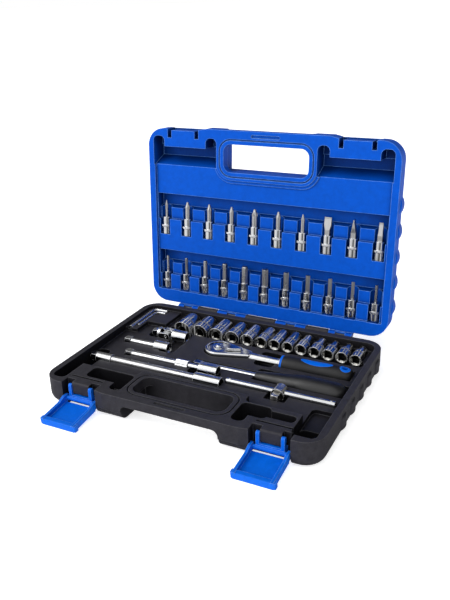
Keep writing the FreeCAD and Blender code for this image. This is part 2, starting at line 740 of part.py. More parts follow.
def loose_pockets():
    """Open pockets along the left wall, on both sides of the handle and in the right corner."""
    x = LOBE_INNER_X[0]
    pocket_y = (FRONT + POCKET_FRONT, TRAY_FRONT_Y - TRAY_LIP)
    lobe_y = (LOBE_Y, LOBE_Y + LOBE_DEPTH)
    step_x = x + RIGHT_POCKET_WIDTH - RIGHT_STEP_OVERLAP
    step_y = FRONT + RIGHT_STEP_FRONT
    corner_x = (INNER_X - CORNER_POCKET_WIDTH, INNER_X)
    return [
        deep((-INNER_X, -INNER_X + SIDE_POCKET_WIDTH), (LOBE_Y, LOBE_Y + SIDE_POCKET_LENGTH), POCKET_FLOOR),
        deep((-x - LEFT_POCKET_WIDTH, -x), pocket_y, POCKET_FLOOR),
        deep(mirrored(LOBE_INNER_X), lobe_y, POCKET_FLOOR),
        deep((x, x + RIGHT_POCKET_WIDTH), pocket_y, POCKET_FLOOR),
        deep(LOBE_INNER_X, lobe_y, POCKET_FLOOR),
        deep((step_x, step_x + RIGHT_STEP_WIDTH), (step_y, step_y + RIGHT_STEP_LENGTH), STEP_FLOOR, STEP_R),
        deep(corner_x, (LOBE_Y, LOBE_Y + CORNER_STEP_LENGTH), STEP_FLOOR),
        deep(corner_x, (LOBE_Y, LOBE_Y + CORNER_POCKET_LENGTH), POCKET_FLOOR),
    ]


def finger_recesses():
    """Recesses across the beds, from which the fingers lift the tools."""
    short_x = -INNER_X + SHORT_FINGER_FROM_SIDE
    short_y = (SHORT_Y - SHORT_FINGER_FRONT, JOINT_Y + JOINT_FINGER_BACK)
    long_x = -INNER_X + LONG_FINGER_FROM_SIDE
    neck_x = HEAD_X + NECK_FINGER_FROM_HEAD
    neck_y = (RATCHET_Y - NECK_FINGER_FRONT, RATCHET_Y + NECK_FINGER_BACK)
    socket_x = (-INNER_X + SOCKET_FINGER_LEFT, INNER_X - SOCKET_FINGER_RIGHT)
    socket_y = (SOCKET_FRONT_Y - SOCKET_FINGER_FRONT, SOCKET_FRONT_Y + SOCKET_FINGER_BACK)
    return [
        deep((short_x, short_x + SHORT_FINGER_WIDTH), short_y, FINGER_FLOOR),
        deep((long_x, long_x + LONG_FINGER_WIDTH), (LONG_Y - LONG_FINGER_FRONT, LONG_Y), FINGER_FLOOR),
        deep((neck_x, neck_x + NECK_FINGER_WIDTH), neck_y, FINGER_FLOOR),
        deep(socket_x, socket_y, FINGER_FLOOR),
        deep(JOINT_RECESS_X, JOINT_RECESS_Y, TOOL_AXIS_Z - JOINT_R - TOOL_CLEAR),
    ]


# Tool positions that both the tools and their beds use

def socket_places():
    """(name, nut size, outside diameter, drive end diameter, x, axis height) of each socket."""
    widths = [max(d, SOCKET_DRIVE_END_D) for name, nut, d in SOCKETS]
    free = SOCKET_LAST_X + widths[-1] / 2 - (KEY_X + KEY_LARGE[2]) - sum(widths)
    space = free * (1 - SOCKET_KEY_SHARE) / (len(SOCKETS) - 1)
    places = []
    x = SOCKET_LAST_X
    for k in range(len(SOCKETS) - 1, -1, -1):
        name, nut, d = SOCKETS[k]
        places.append((name, nut, d, widths[k], x, RIM - TOP_ROOM - widths[k] / 2))
        x -= widths[k] / 2 + space + widths[k - 1] / 2
    return places


def bit_places(row, foot_v):
    """(name, kind, size, spin, x, y) of each bit socket, from left to right."""
    pitch = BIT_ROW_SPAN / (len(row) - 1)
    return [bit + (pitch * k - BIT_ROW_SPAN / 2, BACK - foot_v) for k, bit in enumerate(row)]


BIT_Z = LID_RIM + BIT_DEPTH_W
SPINNER_Z = RIM - TOP_ROOM - SPINNER_HANDLE_R
HEAD_TOP = RATCHET_Z + HEAD_HEIGHT / 2
HEAD_BOTTOM = RATCHET_Z - HEAD_HEIGHT / 2
LEVER_X = HEAD_X + LEVER_FROM_HEAD
FLEX_SECTIONS = (FLEX_COLLAR, FLEX_SLEEVE, FLEX_SOCKET)
FLAP_DROOP = (math.asin((PIVOT_HEIGHT - FLAP_FLOOR_GAP) / math.hypot(FLAP_LENGTH, FLAP_DROP))
              - math.atan2(FLAP_DROP, FLAP_LENGTH))


def tool_beds():
    """Channels in the base that the tools lie in."""
    beds = []
    for name, nut, d, wide, x, z in socket_places():
        reach = ALONG_Y * (SOCKET_LENGTH + 2 * TOOL_CLEAR)
        rise = UP * (RIM + OVER - z)
        beds.append(channel(wide / 2 + TOOL_CLEAR, vec(x, SOCKET_FRONT_Y - TOOL_CLEAR, z), reach, rise))
    beds += bar_bed(FLEX_SECTIONS, FLEX_TIP_X, FLEX_Y, TOOL_AXIS_Z)
    beds += bar_bed(LONG_SECTIONS, LONG_TIP_X, LONG_Y, TOOL_AXIS_Z)
    beds += bar_bed(SHORT_SECTIONS, SHORT_TIP_X, SHORT_Y, TOOL_AXIS_Z)
    spinner = ((SPINNER_SHAFT, SPINNER_SHAFT_R), (SPINNER_HANDLE, SPINNER_HANDLE_R))
    beds += bar_bed(spinner, SPINNER_TIP_X, SPINNER_Y, SPINNER_Z)
    return beds + ratchet_bed() + tbar_bed() + key_beds()


def ratchet_bed():
    floor = HEAD_BOTTOM - TOOL_CLEAR
    head = teardrop(HEAD_R + 2 * TOOL_CLEAR, NECK_HALF + 2 * TOOL_CLEAR, NECK_FROM_HEAD, RIM + OVER - floor)
    head.translate(vec(HEAD_X, RATCHET_Y, floor))
    well_r = DRIVE / math.sqrt(2.0) + 2 * TOOL_CLEAR
    well_floor = floor - DRIVE_LENGTH
    well = Part.makeCylinder(well_r, RIM - well_floor, vec(HEAD_X, RATCHET_Y, well_floor))
    rise = UP * (RIM + OVER - RATCHET_Z)
    neck_x = HEAD_X + NECK_FROM_HEAD
    neck_reach = ALONG_X * (GRIP_X - neck_x)
    neck = channel(NECK_HALF + TOOL_CLEAR, vec(neck_x, RATCHET_Y, RATCHET_Z), neck_reach, rise)
    grip = channel(GRIP_R + TOOL_CLEAR, vec(GRIP_X - TOOL_CLEAR, RATCHET_Y, RATCHET_Z),
                   ALONG_X * (GRIP_LENGTH + 2 * TOOL_CLEAR), rise)
    return [head, well, neck, grip]


def tbar_bed():
    reach = ALONG_X * (TBAR_LENGTH + 2 * TOOL_CLEAR)
    rise = UP * (RIM + OVER - TBAR_Z)
    rod = channel(TBAR_R + TOOL_CLEAR, vec(TBAR_START_X - TOOL_CLEAR, TBAR_Y, TBAR_Z), reach, rise)
    half = SLIDER_R + SLIDER_TRAVEL + TOOL_CLEAR
    y = (TBAR_Y - SLIDER_FRONT - DRIVE_LENGTH - TOOL_CLEAR, TBAR_Y + SLIDER_BACK + TOOL_CLEAR)
    return [rod, deep((SLIDER_X - half, SLIDER_X + half), y, TBAR_Z - SLIDER_R - TOOL_CLEAR, 0)]


def key_beds():
    beds = []
    for flats, long_arm, short_arm, x, y in KEY_PLACES:
        half = flats / math.sqrt(3.0) + KEY_CLEAR
        floor = KEY_LEDGE_Z - flats / 2 - TOOL_CLEAR
        beds.append(deep((x - half, x + half), (y - long_arm - half, y + half), floor, 0))
        beds.append(deep((x - half, x + short_arm + half), (y - half, y + half), floor, 0))
        beds.append(deep((x - half, x + KEY_BEND_R + half), (y - KEY_BEND_R - half, y + half), floor, 0))
    return beds


def base_shell():
    body = shell_blank(0.0, RIM, 0.0)
    body = fused([body, handle_pad(RIM, -1)] + grip_ribs(RIM, -1) + base_knuckles())
    cuts = handle_cuts(RIM, -1) + tray_cuts() + tool_beds() + [rod_bore()]
    for side in (-1, 1):
        cuts += [latch_recess(side * LATCH_X), latch_slot(side * LATCH_X)]
    body = body.cut(cuts)
    return fused([body] + [latch_block(side * LATCH_X) for side in (-1, 1)])


def lid_pocket(side):
    """Sloped pocket behind a latch, with a lobe on both sides of the keeper."""
    y = FRONT + LID_PANEL_FRONT
    back = y - LID_POCKET_SLOPE
    front = y - LID_POCKET_LENGTH
    deep_z = LID_RIM + LID_POCKET_DEPTH
    outline = [(y, LID_RIM - OVER), (y, LID_RIM + LID_PANEL_DEPTH), (back, deep_z), (front, deep_z),
               (front, LID_RIM - OVER)]
    x = on_side((LOBE_INNER_X[0], LOBE_OUTER_X[1]), side)
    lobe_y = (LOBE_Y, front + LID_LOBE_OVERLAP)
    lobe_z = (LID_RIM - OVER, deep_z - LID_LOBE_RISE)
    lobes = [slab(on_side(span, side), lobe_y, lobe_z, POCKET_R) for span in (LOBE_INNER_X, LOBE_OUTER_X)]
    return [side_prism(outline, *x)] + lobes


def lid_trough(foot_v):
    """Stepped trough that shows the upper part of a row of bit sockets."""
    v = [foot_v + TROUGH_FROM, foot_v + TROUGH_FROM + TROUGH_STEP,
         foot_v + TROUGH_FROM + TROUGH_STEP + TROUGH_RAMP,
         foot_v + TROUGH_FROM + TROUGH_STEP + TROUGH_RAMP + TROUGH_BED]
    z = [LID_RIM - OVER, LID_RIM + TROUGH_SHALLOW, LID_RIM + TROUGH_DEEP]
    outline = [(BACK - v[0], z[0]), (BACK - v[0], z[1]), (BACK - v[1], z[1]), (BACK - v[2], z[2]),
               (BACK - v[3], z[2]), (BACK - v[3], z[0])]
    return side_prism(outline, -TROUGH_HALF_WIDTH, TROUGH_HALF_WIDTH)


def bit_beds():
    """Channels that hold the bit sockets, round the ring as well."""
    beds = []
    for row, foot_v in ((UPPER_ROW, UPPER_ROW_V), (LOWER_ROW, LOWER_ROW_V)):
        for name, kind, size, spin, x, y in bit_places(row, foot_v):
            rise = -UP * (BIT_DEPTH_W + OVER)
            beds.append(channel(HOLDER_RING_R + BIT_CLEAR, vec(x, y + BIT_FOOT_GAP, BIT_Z),
                                -ALONG_Y * (TROUGH_FROM + 2 * BIT_FOOT_GAP), rise))
            beds.append(channel(HOLDER_RING_R + BIT_CLEAR, vec(x, y - TROUGH_FROM, BIT_Z),
                                -ALONG_Y * (BIT_LENGTH - TROUGH_FROM + BIT_FOOT_GAP), rise))
    return beds


def lid_latch_cuts(x):
    """Notches for the flap's side walls, the set-back keeper face and the groove for its lip."""
    outer = FLAP_WIDTH / 2 + 2 * LATCH_FIT
    inner = FLAP_WIDTH / 2 - FLAP_WALL - 3 * LATCH_FIT
    lip_z = PIVOT_HEIGHT + FLAP_LENGTH - FLAP_LIP
    groove_top = PIVOT_HEIGHT + FLAP_LENGTH + 2 * LATCH_FIT
    z = (LID_RIM - OVER, groove_top)
    notch_y = (FRONT - OVER, FRONT + LID_NOTCH_DEPTH)
    notches = [slab(span, notch_y, z) for span in ((x - outer, x - inner), (x + inner, x + outer))]
    keeper = slab((x - inner, x + inner), (FRONT - OVER, FRONT + LID_KEEPER_SETBACK), z)
    lip_half = FLAP_LIP_WIDTH / 2 + 2 * LATCH_FIT
    groove = slab((x - lip_half, x + lip_half), (FRONT - OVER, PIVOT_Y + FLAP_LIP_RISE + LATCH_FIT),
                  (lip_z - 2 * LATCH_FIT, groove_top))
    return notches + [keeper, groove]


def lid_panel():
    """Sunk panel of the lid, which leaves a stepped collar round the finger gap."""
    half = INNER_X - LID_PANEL_SIDE
    panel = slab((-half, half), (FRONT + LID_PANEL_FRONT, BACK - LID_PANEL_BACK),
                 (LID_RIM - OVER, LID_RIM + LID_PANEL_DEPTH))
    collars = []
    for grow, z in ((LID_COLLAR_WIDTH, LID_RIM - 2 * OVER),
                    (LID_COLLAR_WIDTH + LID_COLLAR_STEP, LID_RIM + LID_PANEL_DEPTH / 2)):
        reach = HANDLE_GAP_WIDTH / 2 + grow
        collars.append(slab((-reach, reach), (FRONT, GAP_BACK + grow), (z, LID_RIM + LID_PANEL_DEPTH + OVER),
                            HANDLE_GAP_R + grow))
    return panel.cut(collars)


def lid_shell():
    body = shell_blank(LID_RIM, LID_TOP, LID_TOP)
    body = fused([body, handle_pad(LID_RIM, 1)] + grip_ribs(LID_RIM, 1) + lid_knuckles())
    top_y = GAP_BACK + TOP_PANEL_FROM_GAP
    top_panel = slab((-TOP_PANEL_WIDTH / 2, TOP_PANEL_WIDTH / 2), (top_y, top_y + TOP_PANEL_LENGTH),
                     (LID_TOP - TOP_PANEL_DEPTH, LID_TOP + OVER), CORNER_R)
    cuts = handle_cuts(LID_RIM, 1) + [lid_panel(), top_panel, rod_bore()]
    cuts += [lid_trough(UPPER_ROW_V), lid_trough(LOWER_ROW_V)] + bit_beds()
    for side in (-1, 1):
        cuts += lid_pocket(side) + lid_latch_cuts(side * LATCH_X)
    body = opened(body.cut(cuts))
    body = fused([body] + stop_lugs())
    return body.cut(knuckle_windows() + [rod_bore()])


def hinge_rod():
    reach = KNUCKLE_BOUNDS[-1]
    return Part.makeCylinder(HINGE_ROD_R, 2 * reach, vec(-reach, HINGE_Y, HINGE_Z), ALONG_X)


# Latches

def latch_clip(x):
    """U clip: pivot bar, web against the recess wall and two round-topped prongs beside the block."""
    half = FLAP_WIDTH / 2
    bar = Part.makeCylinder(PIVOT_R, FLAP_WIDTH, vec(x - half, PIVOT_Y, PIVOT_HEIGHT), ALONG_X)
    inner = LATCH_BLOCK_WIDTH / 2 + LATCH_FIT / 2
    outer = inner + PRONG_WIDTH
    wall = FRONT + LATCH_RECESS_DEPTH
    web = slab((x - outer, x + outer), (PIVOT_Y, wall),
               (PIVOT_HEIGHT - PIVOT_R, RIM - LATCH_BLOCK_HEIGHT - LATCH_FIT))
    top = RIM - PRONG_TOP_GAP
    prongs = []
    for low in (x - outer, x + inner):
        prong = slab((low, low + PRONG_WIDTH), (PIVOT_Y, PIVOT_Y + PRONG_DEPTH), (PIVOT_HEIGHT, top))
        crown = [e for e in along(prong, ALONG_X) if abs(e.CenterOfMass.z - top) < NEAR]
        prongs.append(prong.makeFillet(PRONG_DEPTH * 0.45, crown))
    return fused([bar, web] + prongs)


def latch_flap(x):
    """Tray-shaped flap on the clip's bar, drooping to the floor, with a wide lip at its far end."""
    half = FLAP_WIDTH / 2
    y = PIVOT_Y
    z = PIVOT_HEIGHT
    end = y - FLAP_LENGTH
    low = z - FLAP_DROP
    plate = slab((x - half, x + half), (end, y - FLAP_PLATE_GAP), (low, low + FLAP_PLATE))
    wall = [(y + FLAP_EAR_R * 0.6, low + FLAP_PLATE), (y + FLAP_EAR_R, z),
            (y + FLAP_EAR_R * 0.6, z + FLAP_EAR_R * 0.8), (y - FLAP_EAR_R, z + FLAP_EAR_R),
            (y - FLAP_SLOT - FLAP_EAR_R, z + FLAP_WALL_RISE), (end, z + FLAP_WALL_RISE), (end, low),
            (y - FLAP_SLOT, low)]
    walls = [side_prism(wall, a, a + FLAP_WALL) for a in (x - half, x + half - FLAP_WALL)]
    lip_half = FLAP_LIP_WIDTH / 2
    lip = slab((x - lip_half, x + lip_half), (end, end + FLAP_LIP), (low, z + FLAP_LIP_RISE))
    lip = lip.makeFillet(FLAP_LIP / 4, [e for e in lip.Edges if abs(e.CenterOfMass.y - end) < NEAR])
    bore_start = vec(x - half - OVER, y, z)
    bore = Part.makeCylinder(PIVOT_R + PIVOT_CLEAR, FLAP_WIDTH + 2 * OVER, bore_start, ALONG_X)
    flap = fused([plate, lip] + walls).cut(bore)
    flap.rotate(vec(x, y, z), ALONG_X, math.degrees(FLAP_DROOP))
    return flap


# Sockets and bit sockets

def socket(nut, d, wide):
    """Socket along local Z: square drive hole at 0, six-sided nut hole at the far end."""
    r = wide / 2
    neck = SOCKET_NECK_AT + SOCKET_NECK_WIDTH
    outline = [(0, 0), (r, 0), (r, SOCKET_NECK_AT), (r - SOCKET_NECK_R, SOCKET_NECK_AT),
               (r - SOCKET_NECK_R, neck), (r, neck)]
    if wide > d:
        outline += [(r, SOCKET_DRIVE_END), (d / 2, SOCKET_DRIVE_END + SOCKET_TAPER)]
    body = turned(outline + [(d / 2, SOCKET_LENGTH), (0, SOCKET_LENGTH)])
    nut_hole = prism(hexagon_points(nut + 2 * DRIVE_HOLE_CLEAR), SOCKET_NUT_DEPTH)
    nut_hole.translate(vec(0, 0, SOCKET_LENGTH - SOCKET_NUT_DEPTH))
    return body.cut([drive_hole(), nut_hole])


def bit_holder():
    """Short socket with a knurled ring, a square hole below and a round bore above."""
    body = turned([(0, 0), (HOLDER_R, 0), (HOLDER_R, HOLDER_RING_FROM), (HOLDER_RING_R, HOLDER_RING_FROM),
                   (HOLDER_RING_R, HOLDER_RING_TO), (HOLDER_NECK_R, HOLDER_RING_TO),
                   (HOLDER_NECK_R, HOLDER_LENGTH), (0, HOLDER_LENGTH)])
    bore = Part.makeCylinder(BIT_SHANK_R + INNER_FIT, BIT_SHANK_DEPTH + INNER_FIT + OVER,
                             vec(0, 0, HOLDER_LENGTH - BIT_SHANK_DEPTH - INNER_FIT))
    hole = prism(square_points(DRIVE + 2 * DRIVE_HOLE_CLEAR), DRIVE_HOLE_DEPTH)
    return body.cut([bore, hole])


def cross_tip(r, reach):
    """Round blade ground to a blunt point, with four flutes."""
    blade = turned([(0, 0), (r, 0), (r, reach * 0.7), (r * 0.35, reach), (0, reach)])
    web = r * 0.42
    z = (reach * 0.6, reach)
    arms = [slab((-r, r), (-web, web), z), slab((-web, web), (-r, r), z)]
    shank = Part.makeCylinder(BIT_SHANK_R + OVER, reach * 0.6)
    return blade.common(fused([shank] + arms))


def slotted_tip(width, reach):
    """Forged flat blade that widens and thins towards the edge."""
    r = BIT_SHANK_R * 0.8
    edge = width * 0.07 + 0.2
    half = width / 2
    front = side_prism([(-r, 0), (r, 0), (r, reach * 0.3), (half, reach * 0.55), (half, reach),
                        (-half, reach), (-half, reach * 0.55), (-r, reach * 0.3)], -width, width)
    side = side_prism([(-r, 0), (r, 0), (r, reach * 0.3), (edge, reach * 0.9), (edge, reach),
                       (-edge, reach), (-edge, reach * 0.9), (-r, reach * 0.3)], -width, width)
    side.rotate(ORIGIN, UP, 90)
    return front.common(side)


def hex_tip(flats, reach):
    corner = flats / math.sqrt(3.0)
    blank = prism(hexagon_points(flats), reach)
    outer = corner + HEX_TIP_TAPER
    broken = turned([(0, 0), (outer, 0), (outer, reach - corner), (corner * 0.8, reach), (0, reach)])
    return blank.common(broken)


def star_tip(width, reach):
    """Six-lobed prism."""
    r = width / 2
    scallops = [Part.makeCylinder(r * 0.3, reach, vec(x, y, 0)) for x, y in polygon_points(6, r * 1.08, 30)]
    return Part.makeCylinder(r, reach).cut(scallops)


def bit_socket(kind, size):
    """Holder and pressed-in bit, along local Z from the drive end."""
    reach = BIT_LENGTH - HOLDER_LENGTH
    tip = {"cross": cross_tip, "slotted": slotted_tip, "hex": hex_tip, "star": star_tip}[kind](size, reach)
    tip.translate(vec(0, 0, HOLDER_LENGTH))
    shank = Part.makeCylinder(BIT_SHANK_R, BIT_SHANK_DEPTH, vec(0, 0, HOLDER_LENGTH - BIT_SHANK_DEPTH))
    return Part.makeCompound([bit_holder(), shank.fuse(tip)])


# Ratchet

def ratchet_body():
    head = teardrop(HEAD_R, NECK_HALF, NECK_FROM_HEAD, HEAD_HEIGHT)
    head = head.makeFillet(HEAD_ROUND, [e for e in head.Edges if e.BoundBox.ZLength < NEAR])
    head.translate(vec(HEAD_X, RATCHET_Y, HEAD_BOTTOM))
    start = HEAD_X + NECK_FROM_HEAD - NECK_HALF
    collar = GRIP_X - start
    tang_end = collar + TANG_LENGTH
    neck = turned([(0, 0), (NECK_START_R, 0), (NECK_END_R, collar - NECK_FLARE), (CORE_R, collar),
                   (TANG_R, collar), (TANG_R, tang_end), (0, tang_end)])
    body = fused([head, laid(neck, vec(start, RATCHET_Y, RATCHET_Z), ALONG_X)])
    return body.cut(mechanism_room())


def mechanism_room():
    """Dial recess, cover seat, gear chamber, pawl chamber and the bores above them."""
    dial = teardrop(DIAL_R, LEVER_R + DIAL_LEVER_ROOM, LEVER_FROM_HEAD, DIAL_DEPTH + OVER)
    dial.translate(vec(HEAD_X, RATCHET_Y, HEAD_TOP - DIAL_DEPTH))
    seat = cover_plate(INNER_FIT)
    roof = HEAD_TOP - DIAL_DEPTH - COVER_HEIGHT
    height = roof - HEAD_BOTTOM
    gear_room = Part.makeCylinder(GEAR_R + GEAR_ROOM, height, vec(HEAD_X, RATCHET_Y, HEAD_BOTTOM))
    pawl_room = Part.makeCylinder(PAWL_ROOM_R, height, vec(LEVER_X, RATCHET_Y, HEAD_BOTTOM))
    inside = HEAD_BOTTOM + OVER
    boss_bore = Part.makeCylinder(BOSS_R + BOSS_CLEAR, HEAD_HEIGHT, vec(HEAD_X, RATCHET_Y, inside))
    spindle_bore = Part.makeCylinder(SPINDLE_R + SPINDLE_CLEAR, HEAD_HEIGHT, vec(LEVER_X, RATCHET_Y, inside))
    return [dial, seat, gear_room, pawl_room, boss_bore, spindle_bore]


def cover_plate(grow):
    big = GEAR_R + GEAR_ROOM + COVER_LAP + grow
    small = PAWL_ROOM_R + COVER_PAWL_LAP + grow
    plate = teardrop(big, small, LEVER_FROM_HEAD, COVER_HEIGHT + 2 * grow)
    plate.translate(vec(HEAD_X, RATCHET_Y, HEAD_BOTTOM - grow))
    return plate


def ratchet_cover():
    bore_start = vec(HEAD_X, RATCHET_Y, HEAD_BOTTOM - OVER)
    return cover_plate(0).cut(Part.makeCylinder(NECK_BOSS_R + BOSS_CLEAR, HEAD_HEIGHT, bore_start))


def ratchet_drive():
    """Toothed wheel with its upper boss, lower neck and drive square, bored for the button."""
    low = HEAD_BOTTOM + COVER_HEIGHT + GEAR_ROOM
    high = HEAD_TOP - DIAL_DEPTH - COVER_HEIGHT - GEAR_ROOM
    step = 180.0 / GEAR_TEETH
    outline = []
    for k in range(GEAR_TEETH):
        for radius, turn in ((GEAR_R, 2 * k * step), (GEAR_R - GEAR_TOOTH, (2 * k + 1) * step)):
            outline.append((radius * math.cos(math.radians(turn)), radius * math.sin(math.radians(turn))))
    gear = prism(outline, high - low)
    gear.translate(vec(0, 0, low))
    middle = (low + high) / 2
    bosses = turned([(0, HEAD_BOTTOM), (NECK_BOSS_R, HEAD_BOTTOM), (NECK_BOSS_R, middle), (BOSS_R, middle),
                     (BOSS_R, HEAD_TOP), (0, HEAD_TOP)])
    square = drive_square()
    square.translate(vec(0, 0, HEAD_BOTTOM - DRIVE_LENGTH))
    bore_floor = HEAD_TOP - 2 * BUTTON_TRAVEL
    bore = Part.makeCylinder(BUTTON_R + BUTTON_CLEAR, HEAD_HEIGHT, vec(0, 0, bore_floor))
    drive = fused([gear, bosses, square]).cut(bore)
    drive.translate(vec(HEAD_X, RATCHET_Y, 0))
    return drive


def selector_lever():
    """Lever with its spindle and, on the spindle, the pawl with a nose towards the gear."""
    plate = teardrop(LEVER_R, LEVER_TIP_R, LEVER_TAIL, LEVER_HEIGHT)
    top_edges = [e for e in plate.Edges if e.BoundBox.ZMin > LEVER_HEIGHT - NEAR]
    plate = plate.makeFillet(LEVER_HEIGHT / 4, top_edges)
    low = HEAD_TOP + GEAR_ROOM
    plate.translate(vec(0, 0, low))
    foot = HEAD_BOTTOM + COVER_HEIGHT + GEAR_ROOM
    roof = HEAD_TOP - DIAL_DEPTH - COVER_HEIGHT - GEAR_ROOM
    spindle = Part.makeCylinder(SPINDLE_R, low - foot, vec(0, 0, foot))
    nose = LEVER_FROM_HEAD - GEAR_R - GEAR_ROOM
    pawl = teardrop(2 * SPINDLE_R, SPINDLE_R * 0.6, nose - SPINDLE_R * 0.6, roof - foot)
    pawl.rotate(ORIGIN, UP, 180)
    pawl.translate(vec(0, 0, foot))
    lever = fused([plate, spindle, pawl])
    lever.translate(vec(LEVER_X, RATCHET_Y, 0))
    return lever


def release_button():
    low = HEAD_TOP - BUTTON_TRAVEL + INNER_FIT
    top = HEAD_TOP + BUTTON_PROUD
    dome = BUTTON_R * 0.25
    button = turned([(0, low), (BUTTON_R, low), (BUTTON_R, top - dome), (BUTTON_R - dome, top), (0, top)])
    button.translate(vec(HEAD_X, RATCHET_Y, 0))
    return button


def grip_blank():
    """Smooth outer form of the rubber grip, along X."""
    start = COLLAR_RING
    end = GRIP_LENGTH
    curve = [(GRIP_END_R, start), (GRIP_R, start + end * 0.13), (GRIP_WAIST_R, end * 0.42),
             (GRIP_R, end * 0.75), (GRIP_HEEL_R, end * 0.9), (GRIP_R * 0.72, end * 0.98),
             (GRIP_R * 0.3, end)]
    return laid(turned_curve(curve, [(0, end), (0, start)]), vec(GRIP_X, RATCHET_Y, RATCHET_Z), ALONG_X)


def hang_hole(radius):
    x = GRIP_END_X - HANG_FROM_END
    return Part.makeCylinder(radius, 4 * GRIP_R, vec(x, RATCHET_Y, RATCHET_Z - 2 * GRIP_R))


def grip_bar(radius, start, length):
    """Round bar on the axis of the grip."""
    return Part.makeCylinder(radius, length, vec(start, RATCHET_Y, RATCHET_Z), ALONG_X)


def inlay_window():
    """Oval column over the upper half of the grip."""
    oval = Part.Ellipse(vec(INLAY_CENTRE_X, RATCHET_Y, RATCHET_Z), INLAY_LENGTH / 2, INLAY_WIDTH / 2)
    return Part.Face(Part.Wire(oval.toShape())).extrude(UP * (2 * GRIP_R))


def grip_core():
    """Coloured inner part: bar on the tang, collar ring, oval inlay and the ring of the hanging hole."""
    blank = grip_blank()
    bar = grip_bar(CORE_R, GRIP_X, GRIP_LENGTH - HANG_FROM_END)
    ring = grip_bar(GRIP_END_R, GRIP_X, COLLAR_RING)
    inlay = inlay_window().common(blank)
    tube = hang_hole(HANG_RING_R).common(blank)
    tang = grip_bar(TANG_R + INNER_FIT, GRIP_X - OVER, TANG_LENGTH + INNER_FIT + OVER)
    return fused([bar, ring, inlay, tube]).cut([tang, hang_hole(HANG_HOLE_R)])


def grip_sleeve():
    """Rubber sleeve round the core, with the inlay window and the hanging hole."""
    bar = grip_bar(CORE_R, GRIP_X, GRIP_LENGTH - HANG_FROM_END)
    return grip_blank().cut([bar, inlay_window(), hang_hole(HANG_RING_R)])


# Spinner handle, flexible bar, extensions

def spinner_shaft():
    bar = stepped([(SPINNER_SHAFT + SPINNER_TANG, SPINNER_SHAFT_R)], DRIVE_LENGTH).fuse(drive_square())
    return laid(bar, vec(SPINNER_TIP_X, SPINNER_Y, SPINNER_Z), ALONG_X)


def spinner_handle():
    length = SPINNER_HANDLE
    curve = [(SPINNER_FRONT_R, 0), (SPINNER_WAIST_R, length * 0.1), (SPINNER_NECK_R, length * 0.25),
             (SPINNER_HANDLE_R, length * 0.55), (SPINNER_HANDLE_R, length * 0.8),
             (SPINNER_HEEL_R, length * 0.96), (SPINNER_END_R, length)]
    grip = turned_curve(curve, [(0, length), (0, 0)])
    bore = Part.makeCylinder(SPINNER_SHAFT_R + INNER_FIT, SPINNER_TANG + INNER_FIT + OVER, vec(0, 0, -OVER))
    return laid(grip.cut(bore), vec(SPINNER_HANDLE_X, SPINNER_Y, SPINNER_Z), ALONG_X)


def flex_ends():
    """Drive end and socket end of the flexible bar, each bored for the sleeve."""
    bore_r = FLEX_SLEEVE[1] + INNER_FIT
    bore_length = FLEX_INSERT + INNER_FIT + OVER
    first = DRIVE_LENGTH + FLEX_COLLAR[0]
    second = first + FLEX_SLEEVE[0]
    collar = stepped([FLEX_COLLAR], DRIVE_LENGTH).fuse(drive_square())
    collar = collar.cut(Part.makeCylinder(bore_r, bore_length, vec(0, 0, first - FLEX_INSERT - INNER_FIT)))
    end = stepped([FLEX_SOCKET], second)
    end = end.cut([Part.makeCylinder(bore_r, bore_length, vec(0, 0, second - OVER)),
                   laid(drive_hole(), vec(0, 0, second + FLEX_SOCKET[0]), -UP)])
    return laid(Part.makeCompound([collar, end]), vec(FLEX_TIP_X, FLEX_Y, TOOL_AXIS_Z), ALONG_X)


def flex_shaft():
    start = DRIVE_LENGTH + FLEX_COLLAR[0] - FLEX_INSERT
    sleeve = Part.makeCylinder(FLEX_SLEEVE[1], FLEX_SLEEVE[0] + 2 * FLEX_INSERT, vec(0, 0, start))
    return laid(sleeve, vec(FLEX_TIP_X, FLEX_Y, TOOL_AXIS_Z), ALONG_X)


# Universal joint, about its cross centre with the socket end towards +X

def yoke_arm(across):
    """Pair of fork arms with pin bores; across is the pin axis."""
    inner = CROSS_HALF + YOKE_GAP
    arms = []
    for sign in (-1, 1):
        low = inner if sign > 0 else -inner - YOKE_ARM
        arm = slab((-YOKE_ARM_REACH, JOINT_BACK + YOKE_ROOT), (-YOKE_ARM_HALF, YOKE_ARM_HALF),
                   (low, low + YOKE_ARM))
        tip = [e for e in along(arm, UP) if e.CenterOfMass.x < 0]
        arms.append(arm.makeFillet(YOKE_ARM_HALF * 0.9, tip))
    bore = Part.makeCylinder(CROSS_PIN_R + CROSS_PIN_CLEAR, 4 * JOINT_R, vec(0, 0, -2 * JOINT_R))
    pair = [arm.cut(bore) for arm in arms]
    if across == "y":
        for arm in pair:
            arm.rotate(ORIGIN, ALONG_X, 90)
    return pair


def joint_place(shape):
    shape.translate(vec(JOINT_CROSS_X, JOINT_Y, TOOL_AXIS_Z))
    return shape


def joint_socket_yoke():
    body = laid(stepped([(JOINT_SOCKET_LENGTH, JOINT_R)], JOINT_BACK), ORIGIN, ALONG_X)
    body = fused([body] + yoke_arm("z"))
    return joint_place(body.cut(laid(drive_hole(), vec(JOINT_BACK + JOINT_SOCKET_LENGTH, 0, 0), -ALONG_X)))


def joint_drive_yoke():
    body = stepped([(JOINT_DRIVE_BODY, JOINT_DRIVE_R)], JOINT_BACK)
    square = laid(drive_square(), vec(0, 0, JOINT_BACK + JOINT_DRIVE_BODY + DRIVE_LENGTH), -UP)
    body = laid(fused([body, square]), ORIGIN, ALONG_X)
    yoke = fused([body] + yoke_arm("y"))
    yoke.rotate(ORIGIN, UP, 180)
    return joint_place(yoke)


